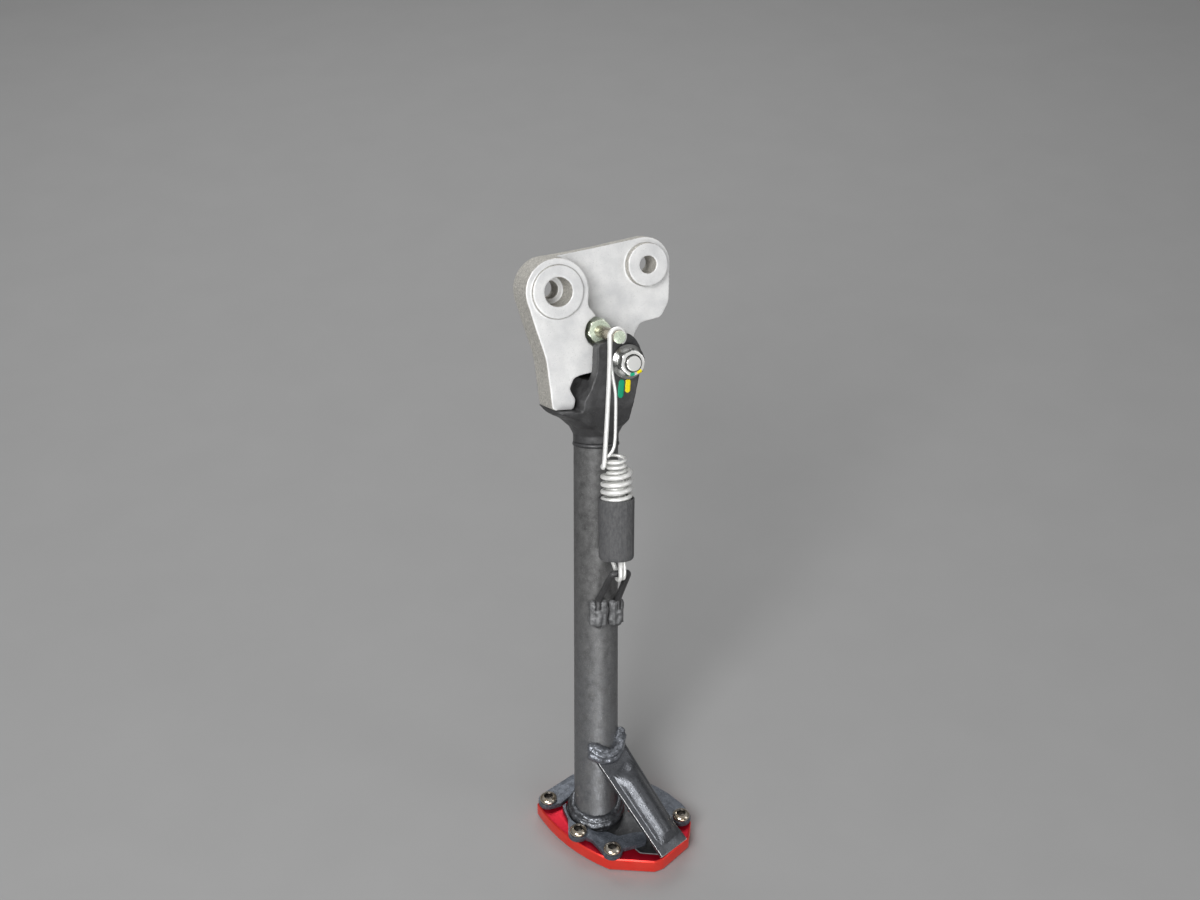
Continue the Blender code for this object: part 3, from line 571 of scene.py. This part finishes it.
# the tang's near-white bare colour is a painted highlight line along its edges, over real edge wear
TANG_STEEL = black_paint('tang_worn_steel', (0.040, 0.042, 0.047), 160, 60, (0.125, 0.131, 0.143),
                         bare_edge_and_highlight=(0.80, 0.80, 0.80), gloss=0.10, patchy=0.25)
# the sole's paint and steel are much darker than the other black parts: painted shade from the tang above
# it
SOLE_SHADED_STEEL = black_paint('sole_worn_steel_painted_shade', (0.014, 0.0145, 0.015), 40, 8, (0.040, 0.041, 0.044),
                         bare_edge_and_highlight=(0.22, 0.22, 0.23))
WELD = weld_metal('bright_weld', (0.34, 0.36, 0.40))
# darker weld metal for the sole weld: painted shade, as the weld lies in the tang's shadow
SHADED_WELD = weld_metal('sole_weld_painted_shade', (0.21, 0.22, 0.24))
RED = red_anodised()
SATIN = satin_coat()
STAINLESS = bright_metal('stainless_steel', (0.66, 0.62, 0.55), (0.46, 0.36, 0.24), 0.10, 0.20, 0.02)
SOCKET = bright_metal('socket_shadow', (0.10, 0.09, 0.08), (0.05, 0.045, 0.04), 0.3, 0.5)
# ZINC, STUD_PLATE and GREEN_ZINC end in a lighter face colour: a painted highlight on the outboard ends
# and rims
ZINC = bright_metal('zinc_plate', (0.46, 0.46, 0.45), (0.36, 0.365, 0.35), 0.14, 0.22, 0.012, 0.9,
                    (0.80, 0.80, 0.78))
STUD_PLATE = bright_metal('stud_plate', (0.46, 0.41, 0.33), (0.38, 0.36, 0.27), 0.20, 0.32, 0.02, 0.9,
                          (0.62, 0.70, 0.56))
GREEN_ZINC = bright_metal('stud_hex_plate', (0.62, 0.68, 0.55), (0.52, 0.58, 0.44), 0.18, 0.30, 0.02, 0.7,
                          (0.76, 0.82, 0.68))
WIRE = bright_metal('spring_wire', (0.95, 0.95, 0.93), (0.86, 0.86, 0.84), 0.28, 0.42, 0.02, 0.45)
BRONZE = bright_metal('bush_bronze', (0.55, 0.38, 0.18), (0.42, 0.28, 0.14), 0.3, 0.45)
RUBBER = sleeve_rubber()
GREEN = marker_paint('green_marker', (0.0, 0.40, 0.21))
YELLOW = marker_paint('yellow_marker', (0.95, 0.78, 0.0))


def piece(obj, mat, body, slot, *nodes):
    """Give a finished piece its material and body, and hide the CAD nodes it stands for; slot is not
    used.
    """
    obj.data.materials.clear()
    obj.data.materials.append(mat)
    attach(obj, body)
    if nodes:
        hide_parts(*nodes)
    return obj


# ---------------------------------------------------------------- bracket and its hardware

def hex_radius(across_flats, turn):
    """Distance from a hexagon's centre to its edge, for use in turned()."""
    def radius_at(limit, a, height):
        off = (math.degrees(a) - turn) % 60 - 30
        return min(limit, across_flats / 2 / math.cos(math.radians(off)))
    return radius_at


def make_bracket():
    body = softened('bracket', 'bracket_casting', 0.55, 7)
    push(body, rough(6.0, 0.12))
    piece(mark_edges(body), CAST, 'bracket', 'cast_aluminium', 'bracket')
    NODES['pivot_bush'].data.materials.clear()
    NODES['pivot_bush'].data.materials.append(BRONZE)


def make_stud():
    end = STUD.y - 4.9
    shank = [(4.0, 4.0), (4.0, 6.6), (STUD_HEX_Y, 6.6), (STUD_HEX_Y - 0.4, 3.9), (STUD.y + 3.7, 3.8),
             (STUD.y + 3.1, 3.3), (STUD.y + 2.9, STUD_NECK_R), (end + 2.5, STUD_NECK_R),
             (end + 2.1, 3.5), (end + 1.8, 4.0), (end + 0.4, 4.05), (end + 0.1, 3.9),
             (end, 3.6), (end, 0.01)]
    body = turned('spring_stud_shank', (STUD.x, STUD.z), shank, None, 48)
    piece(body, STUD_PLATE, 'bracket', 'zinc_plate', 'spring_anchor_stud')
    face = STUD_HEX_Y
    flats = [(3.7, 6.6), (3.7, 9), (face + 1.0, 9), (face + 0.45, 7.7), (face + 0.08, 7.0),
             (face, 6.4), (face, 4.0)]
    nut = turned('spring_stud_hex', (STUD.x, STUD.z), flats, hex_radius(STUD_HEX_FLATS, 12), 96)
    piece(nut, GREEN_ZINC, 'bracket', 'zinc_plate')


def make_pivot_bolt():
    pitch, depth = 1.25, 0.42
    thread_start, end = -20.2, -31.3

    def thread(limit, a, height):
        if limit < 4.9:
            return limit
        wave = abs(((height / pitch + a / (2 * math.pi)) % 1) * 2 - 1)
        return limit - depth * min(1.0, 1.3 * wave)

    levels = [(24.0, 4.6), (-20.0, 4.6)]
    steps = 60
    for i in range(steps + 1):
        levels.append((thread_start + (end + 0.75 - thread_start) * i / steps, 5.0))
    levels += [(end + 0.2, 4.75), (end + 0.03, 4.5), (end, 4.3), (end, 0.01)]
    shank = turned('pivot_bolt_shank', (0, 0), levels, thread, 64)
    piece(shank, ZINC, 'leg', 'zinc_plate', 'pivot_bolt')
    seat = 23.8
    flange = [(seat, 4.0), (seat, 10.3), (seat + 0.3, 10.6), (seat + 1.2, 10.5), (seat + 2.2, 9.2)]
    head = [(seat + 2.4, 9), (seat + 6.2, 9), (seat + 6.6, 8.1), (seat + 6.95, 7.3),
            (seat + 7.0, 6.8), (seat + 6.8, 5.9), (seat + 6.8, 0.01)]
    flats = hex_radius(PIVOT_HEX_FLATS, 8)
    cap = turned('pivot_bolt_head', (0, 0), flange + head,
                 lambda limit, a, y: limit if y < seat + 2.3 else flats(limit, a, y), 96)
    piece(cap, ZINC, 'leg', 'zinc_plate')


def make_pivot_nut():
    seat = -20.8

    flats = hex_radius(PIVOT_HEX_FLATS, 20)
    flange_end, foot_end = -22.9, -23.9

    def radius_at(limit, a, y):
        """Round on the flange and in the bore, a hexagon outboard of it, and the larger of the
        two where they meet."""
        if y >= flange_end or (limit < 6 and y <= foot_end):
            return limit
        hexagon = flats(99, a, y)
        return max(limit, hexagon) if y > foot_end else min(limit, hexagon)

    levels = [(seat, 5.6), (seat, 10.5), (seat - 0.25, 10.8), (seat - 1.2, 10.8), (seat - 1.5, 10.55),
              (seat - 2.3, 9.3), (seat - 2.9, 8.5), (seat - 3.3, 9.0), (seat - 8.2, 9.0),
              (seat - 8.5, 8.3), (seat - 8.8, 7.7), (seat - 9.0, 7.1), (seat - 9.05, 6.6),
              (seat - 9.0, 5.75), (seat - 8.5, 5.35), (seat - 5.0, 5.3)]
    nut = turned('pivot_flange_nut', (0, 0), levels, radius_at, 96)
    piece(nut, ZINC, 'leg', 'zinc_plate', 'pivot_nut')
    return nut


# ---------------------------------------------------------------- leg

def make_fork():
    fork = softened('fork_head', 'fork_forging', 0.50, 8)
    push(fork, rough(5.0, 0.15, 3.0))
    piece(mark_edges(fork), FORGED, 'leg', 'black_paint', 'fork_head')
    return fork


def tube_angle(p):
    """How far round the tube a world point in millimetres lies, in radians."""
    q = LEG.inverted() @ p
    return math.atan2(q.x - TUBE_X, -q.y)


def make_tube():
    """Drawn tube with a faint lengthwise seam, square at the top and mitred to the sole."""
    up = LEG.to_3x3().row[2]
    sides, rows = 96, 40
    seam = math.radians(20)

    def point(j, radius, share):
        a = 2 * math.pi * j / sides
        seam_ridge = math.exp(-((a - seam) / 0.035) ** 2)
        r = radius + 0.12 * seam_ridge
        x, y = TUBE_X + r * math.sin(a), -r * math.cos(a)
        low = (SOLE_TOP + GAP - LEG.translation.z - up.x * x - up.y * y) / up.z
        return (x, y, low + (NECK_Z - WELD_GROOVE - low) * share)

    rings = [[point(j, TUBE_R, i / rows) for j in range(sides)] for i in range(rows + 1)]
    rings.append([point(j, TUBE_R - 0.4, 1.0) for j in range(sides)])
    rings += [[point(j, TUBE_BORE_R, 1 - i / 4) for j in range(sides)] for i in range(5)]
    tube = skin('leg_tube_drawn', rings, LEG, closed=True, sharp=40)
    piece(tube, TUBE_PAINT, 'leg', 'black_paint', 'leg_tube')


def lumps(swell, pitch, ripple, along, blob=0.9):
    """For push: a swollen bead with a ripple every pitch millimetres, uneven along its run."""
    def amount(p):
        wave = abs(math.sin(math.pi * (along(p) / pitch + 0.4 * noise.noise(p / 5.0))))
        uneven = noise.noise(p / 4.0 + Vector((3, 1, 7)))
        return swell * (1 + blob * uneven) + ripple * (wave - 0.6) + 0.12 * noise.noise(p / 1.1)
    return amount


def round_tube(p):
    return tube_angle(p) * TUBE_R


def on_tube(turn, z, out):
    """A leg-frame point outside the tube; turn is 0 outboard and 90 to the rear."""
    a = math.radians(turn)
    r = TUBE_R + out
    return Vector((TUBE_X + r * math.sin(a), -r * math.cos(a), z))


def welded(node, name, mat, amount, layers=(), voxel=0.38, slot='weld_metal'):
    """A CAD weld with further runs of bead laid on it, fused and made lumpy."""
    bead = cad_copy(node, name)
    if layers:
        bm = bmesh.new()
        bm.from_mesh(bead.data)
        for path, radius in layers:
            run = sweep(name + '_run', smooth_path(path, 4), radius, 12, LEG)
            bm.from_mesh(run.data)
            bpy.data.objects.remove(run)
        bm.to_mesh(bead.data)
        bm.free()
    fuse(bead, voxel, 4)
    push(bead, amount)
    piece(mark_edges(bead, 3), mat, 'leg', slot, node)


def ring_run(out, lift):
    """A closed path round the tube's foot, lift millimetres above the sole."""
    up = LEG.to_3x3().row[2]
    path = []
    for i in range(41):
        p = on_tube(9.0 * i, 0, out)
        p.z = (SOLE_TOP + lift - LEG.translation.z - up.x * p.x - up.y * p.y) / up.z
        path.append(p)
    return path


def make_welds():
    welded('sole_weld', 'sole_weld_bead', SHADED_WELD, lumps(0.2, 5.5, 0.22, round_tube, 2.5),
           ((ring_run(0.8, 6.2), 1.9), (ring_run(1.6, 3.4), 2.6)), 0.4)
    upper_run = [on_tube(turn, z, 1.4) for turn, z in
                 ((-34, -248.0), (-22, -248.0), (-8, -249.5), (8, -252.5), (26, -251.5),
                  (46, -246.0), (62, -240.5))]
    lower_run = [on_tube(turn, z, 2.0) for turn, z in
                 ((-31, -251.5), (-20, -253.3), (-4, -254.8), (14, -255.5), (34, -252.0), (52, -247.0))]
    peak_run = [on_tube(turn, z, 1.6) for turn, z in
                ((24, -254.5), (36, -251.0), (47, -247.0), (57, -243.0))]
    welded('tang_weld', 'tang_weld_bead', WELD, lumps(0.35, 6.5, 0.30, round_tube, 1.6),
           ((upper_run, 3.1), (lower_run, 3.5), (peak_run, 3.8)), 0.4)
    welded('toe_weld', 'toe_weld_bead', WELD, lumps(0.2, 3.0, 0.35, lambda p: p.x))
    welded('fork_weld', 'fork_weld_bead', FORGED, lumps(0.31, 2.4, 0.03, round_tube, 0.03), (),
           0.3, 'black_paint')
    # three lobes over each foot of the staple: turn from the foot, top, bottom, radius, rise
    lobes = ((-13, 0.0, 1.5, 2.3, 1.3), (0, -5.5, -0.8, 2.9, 2.6), (13, 0.8, 2.2, 2.5, 1.3))
    for end, turn, high, low in (('front', -17.0, -152.5, -165.5), ('rear', 33.0, -153.5, -166.0)):
        layers = []
        for side, above, below, radius, rise in lobes:
            top, bottom = high + above, low + below
            run = [on_tube(turn + side + 2.0 * math.sin(4.0 * t), top + t * (bottom - top), rise)
                   for t in (0, 0.33, 0.67, 1)]
            layers.append((run, radius))
        welded('staple_weld_' + end, 'staple_bead_' + end, BEAD_PAINT,
               lumps(0.35, 9.0, 0.15, lambda p: LEG_UP.dot(p), 1.6), layers)


def make_staple():
    staple = softened('spring_staple', 'spring_staple_rod', 0.35, 3)
    piece(mark_edges(staple), FORGED, 'leg', 'black_paint', 'spring_staple')


# ---------------------------------------------------------------- foot

def make_foot():
    red = machined('foot_enlarger', 'foot_enlarger_plate', 0.35, 2)
    piece(mark_edges(red, 0), RED, 'leg', 'red_anodised', 'foot_enlarger')
    for end in ('front', 'rear'):
        plate = machined(end + '_clamp', end + '_clamp_plate', 0.45, 3)
        piece(mark_edges(plate, 0), SATIN, 'leg', 'satin_black', end + '_clamp')
    sole = machined('foot_sole', 'sole_plate', 0.6, 2)
    piece(mark_edges(sole, 0), SOLE_SHADED_STEEL, 'leg', 'black_paint', 'foot_sole')
    tang = softened('kick_tang', 'kick_tang_pressing', 0.34, 3)
    push(tang, rough(9.0, 0.08, 8.0))
    piece(mark_edges(tang), TANG_STEEL, 'leg', 'black_paint', 'kick_tang')


def make_screw(index):
    """Button head with a hexagon socket: the head is open in the middle, and the socket is a
    separate well that hangs from its rim."""
    x, y = SCREWS[index]
    seat = CLAMP_TOP + GAP
    sides = 72
    dome = math.radians(57)
    head_r, head_h, rim_r, socket_flats = 5.55, 3.1, 2.95, 4.6
    top = seat + head_h
    levels = [(3.0, 0.01), (3.0, 2.6), (3.3, 2.8), (seat, 2.8), (seat, head_r - 0.25),
              (seat + 0.3, head_r), (seat + 0.6, head_r)]
    for i in range(1, 11):
        a = dome * i / 10
        rise = math.sin(a) / math.sin(dome)
        spread = (math.cos(a) - math.cos(dome)) / (1 - math.cos(dome))
        levels.append((seat + 0.6 + (head_h - 0.6) * rise, rim_r + (head_r - rim_r) * spread))
    head = open_turned(f'foot_screw_head_{index + 1}', (x, y), levels, None, sides)
    piece(head, STAINLESS, 'leg', 'stainless', f'foot_screw_{index + 1}')
    flats = hex_radius(socket_flats, 25 + 17 * index)
    well = [(top, rim_r), (top - 0.35, 2.55), (top - 0.5, 2.5), (top - 1.9, 2.5), (top - 2.4, 0.01)]
    socket = open_turned(f'foot_screw_socket_{index + 1}', (x, y), well,
                         lambda limit, a, z: limit if z > top - 0.4 else min(limit, flats(9, a, z)),
                         sides)
    piece(socket, SOCKET, 'leg', 'stainless')


def open_turned(name, centre, levels, radius_at, sides):
    """A turned surface about a vertical axis, left open where its last ring has a size."""
    points, faces = [], []
    for z, radius in levels:
        for j in range(sides):
            a = 2 * math.pi * j / sides
            r = radius_at(radius, a, z) if radius_at else radius
            points.append((centre[0] + r * math.cos(a), centre[1] + r * math.sin(a), z))
    for i in range(len(levels) - 1):
        for j in range(sides):
            m = (j + 1) % sides
            faces.append((i * sides + j, i * sides + m, (i + 1) * sides + m, (i + 1) * sides + j))
    obj = from_lists(name, points, faces)
    obj.data.set_sharp_from_angle(angle=math.radians(38))
    return obj


# ---------------------------------------------------------------- springs

def spring_path(wire, coil_r, helix, lead_in, top_y, bottom_x, tail):
    """The wire's middle line, as in the CAD model but with more points round each turn."""
    top, lead, bottom, turns = helix
    length = (STUD - SPRING_FOOT).length
    top_hook = STUD_NECK_R + wire + GAP
    low_hook = BAR_ROD_R + wire + HOOK_PLAY
    path = []
    for i in range(19):
        a = math.radians(-50 + 230 * i / 18)
        path.append(Vector((top_hook * math.cos(a), top_y, top_hook * math.sin(a))))
    path += [Vector(p) for p in lead_in]
    count = round(turns * 24)
    for i in range(count + 1):
        turn_number = turns * i / count
        a = math.pi - 2 * math.pi * turn_number
        z = top - lead * min(1, turn_number / 0.75) + (bottom - top + lead) * i / count
        path.append(Vector((coil_r * math.cos(a), coil_r * math.sin(a), z)))
    path.append(Vector((bottom_x * 0.5, -coil_r * 0.8, bottom - 3)))
    path.append(Vector((bottom_x, -low_hook, 5 - length)))
    for i in range(19):
        a = math.radians(180 + 195 * i / 18)
        path.append(Vector((bottom_x, low_hook * math.cos(a), low_hook * math.sin(a) - length)))
    path += [Vector((x, y, z - length)) for x, y, z in tail]
    return path


def make_springs():
    outer = spring_path(OUTER_WIRE_R, 8.55, (-79.9, 2.0, -132.0, 10.75),
                        [(-5.3, -0.9, -26.0), (-7.7, -0.5, -71.0)], -1.05, 1.3, [(-2.3, 3.4, 11.0)])
    inner = spring_path(INNER_WIRE_R, 5.35, (-73.4, 0.8, -130.5, 16.75),
                        [(-4.0, 1.6, -8.0), (-2.2, 1.2, -24.0), (-0.4, 0.9, -35.0), (-0.4, 0.5, -50.0),
                         (-1.4, 0.1, -67.5)], 1.7, 4.05, [])
    # the springs shorten to 0.9785 of their length at rest as the leg folds; these wires are swept at
    # their length at rest
    for node, path, wire in (('outer_spring', outer, OUTER_WIRE_R),
                             ('inner_spring', inner, INNER_WIRE_R)):
        coil = sweep(node + '_wire', smooth_path(path, 3), wire, 14, SPRING)
        piece(coil, WIRE, 'spring', 'spring_wire', node)
        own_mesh(coil)


def make_sleeve():
    """Slit rubber sleeve, a little narrower towards its foot."""
    low, high, r = SLEEVE_TOP - SLEEVE_LENGTH, SLEEVE_TOP, 11.3
    ribs = [math.radians(a) for a in (-133, -114, -97, -78, -52, 20, 75, 140)]

    def flutes(limit, a, z):
        if limit < 10.5:
            return limit
        off = min(abs((a - rib + math.pi) % (2 * math.pi) - math.pi) for rib in ribs)
        rib = 0.14 * math.exp(-(off * limit / 0.45) ** 2)
        return limit + rib - 0.14 - 0.25 * (high - z) / SLEEVE_LENGTH

    levels = [(high - 0.2, 10.35), (high, 10.5), (high, 10.95), (high - 0.35, r)]
    for i in range(1, 12):
        levels.append((high - 0.35 + (low + 2.0 - high + 0.35) * i / 12, r))
    levels += [(low + 1.6, r), (low + 0.8, r - 0.22), (low + 0.3, r - 0.6), (low, 10.55),
               (low + 0.1, 10.35)]
    rings = []
    for z, radius in levels:
        rings.append([(flutes(radius, a, z) * math.cos(a), flutes(radius, a, z) * math.sin(a), z)
                      for a in (2 * math.pi * j / 180 for j in range(180))])
    sleeve = skin('spring_sleeve_rubber', rings, SPRING, closed=True, sharp=60)
    piece(sleeve, RUBBER, 'spring', 'rubber', 'spring_sleeve')


# ---------------------------------------------------------------- torque marks

def paint_stripe(name, target, mat, start, end, width, seed):
    """A brush stripe laid on a surface from (x, z) to (x, z) of the leg frame: a grid is dropped
    on it from outboard."""
    tree = BVHTree.FromPolygons([v.co for v in target.data.vertices],
                                [tuple(f.vertices) for f in target.data.polygons])
    start, end = Vector((start[0], 0, start[1])), Vector((end[0], 0, end[1]))
    run = end - start
    side = Vector((run.z, 0, -run.x)).normalized()
    rows, columns = 16, 6
    start_y, miss_drop = -45, 24.5
    top, base = [], []
    for i in range(rows + 1):
        t = i / rows
        taper = min(1.0, 5 * t + 0.45, 5 * (1 - t) + 0.35)
        for j in range(columns + 1):
            s = (j / columns - 0.5) * width * taper
            wobble = 0.22 * noise.noise(Vector((seed, 6 * t, 0.3)))
            p = start + run * t + side * (s + wobble)
            origin = (LEG @ Vector((p.x, start_y, p.z))) * MM
            hit = tree.ray_cast(origin, -OUTBOARD)[0]
            if hit is None:
                hit = origin - OUTBOARD * miss_drop * MM
            rim = 0.02 if i in (0, rows) or j in (0, columns) else 0.16
            top.append(hit / MM + OUTBOARD * rim)
            base.append(hit / MM - OUTBOARD * 0.1)
    size = len(top)
    faces = []
    for i in range(rows):
        for j in range(columns):
            a = i * (columns + 1) + j
            quad = (a, a + 1, a + columns + 2, a + columns + 1)
            faces.append(quad)
            faces.append(tuple(k + size for k in reversed(quad)))
    border = list(range(columns))
    border += [i * (columns + 1) + columns for i in range(rows)]
    border += [rows * (columns + 1) + columns - j for j in range(columns)]
    border += [(rows - i) * (columns + 1) for i in range(rows)]
    for a, b in zip(border, border[1:] + border[:1]):
        faces.append((a, a + size, b + size, b))
    stripe = from_lists(name, top + base, faces)
    piece(stripe, mat, 'leg', 'zinc_plate')


# ---------------------------------------------------------------- stage, light, camera

def make_stage():
    half = FLOOR_HALF
    floor = from_lists('floor', [(-half, -half, 0), (half, -half, 0), (half, half, 0), (-half, half, 0)],
                       [(0, 1, 2, 3)])
    floor.location.z = -FLOOR_DROP * MM
    floor.data.materials.append(floor_paint())
    world = bpy.data.worlds.new('studio')
    bpy.context.scene.world = world
    world.use_nodes = True
    tree = world.node_tree
    direction = tree.nodes.new('ShaderNodeTexCoord')
    split = tree.nodes.new('ShaderNodeSeparateXYZ')
    ramp = tree.nodes.new('ShaderNodeValToRGB')
    tree.links.new(direction.outputs['Generated'], split.inputs['Vector'])
    tree.links.new(split.outputs['Z'], ramp.inputs['Fac'])
    tree.links.new(ramp.outputs['Color'], tree.nodes['Background'].inputs['Color'])
    ramp.color_ramp.elements[0].position = 0.0
    ramp.color_ramp.elements[0].color = (0.16, 0.16, 0.16, 1)
    ramp.color_ramp.elements[1].position = 0.75
    ramp.color_ramp.elements[1].color = (0.95, 0.95, 0.95, 1)
    middle = ramp.color_ramp.elements.new(0.25)
    middle.color = (0.30, 0.30, 0.30, 1)
    tree.nodes['Background'].inputs['Strength'].default_value = SKY_STRENGTH
    bpy.context.scene.view_settings.view_transform = 'Standard'


def area_light(name, place, target, size, power):
    """A white softbox; places and sizes in metres, power in watts."""
    data = bpy.data.lights.new(name, 'AREA')
    data.shape = 'RECTANGLE'
    data.size, data.size_y = size
    data.energy = power
    light = bpy.data.objects.new(name, data)
    bpy.context.scene.collection.objects.link(light)
    light.location = place
    aim = Vector(target) - Vector(place)
    light.rotation_euler = aim.to_track_quat('-Z', 'Y').to_euler()


def make_lights():
    middle = (0.03, 0.06, 0.16)
    area_light('key', (-1.1, -0.9, 1.5), middle, (0.9, 0.9), 34)
    area_light('fill', (1.2, -0.9, 0.9), middle, (0.5, 1.2), 3)
    area_light('back', (0.3, 1.3, 1.3), middle, (1.4, 0.5), 12)
    area_light('low_front', (-0.3, -1.5, 0.35), middle, (1.2, 0.4), 9)


def make_camera():
    a, e = math.radians(VIEW_AZIMUTH), math.radians(VIEW_ELEVATION)
    back = Vector((-math.sin(a) * math.cos(e), -math.cos(a) * math.cos(e), math.sin(e)))
    right = Vector((math.cos(a), -math.sin(a), 0))
    turn = LEG.to_3x3()
    axes = Matrix((turn @ right, turn @ back.cross(right), turn @ back)).transposed().to_4x4()
    eye = (LEG @ (VIEW_TARGET + back * VIEW_DISTANCE)) * MM
    data = bpy.data.cameras.new('camera')
    data.lens = LENS
    data.sensor_width = 36.0
    camera = bpy.data.objects.new('camera', data)
    bpy.context.scene.collection.objects.link(camera)
    camera.matrix_world = Matrix.Translation(eye) @ axes
    bpy.context.scene.camera = camera


make_camera()
make_stage()
make_lights()
make_bracket()
make_stud()
make_pivot_bolt()
nut = make_pivot_nut()
fork = make_fork()
make_tube()
make_welds()
make_staple()
make_foot()
for number in range(4):
    make_screw(number)
make_springs()
make_sleeve()
paint_stripe('mark_green_ear', fork, GREEN, (-3.7, -11.0), (-4.6, -22.4), 3.9, 1.0)
paint_stripe('mark_yellow_ear', fork, YELLOW, (0.7, -10.9), (0.1, -19.3), 3.5, 2.0)
paint_stripe('mark_green_nut', nut, GREEN, (-1.9, -6.9), (1.0, -6.6), 2.3, 3.0)
paint_stripe('mark_yellow_nut', nut, YELLOW, (2.7, -6.2), (5.8, -4.6), 2.6, 4.0)
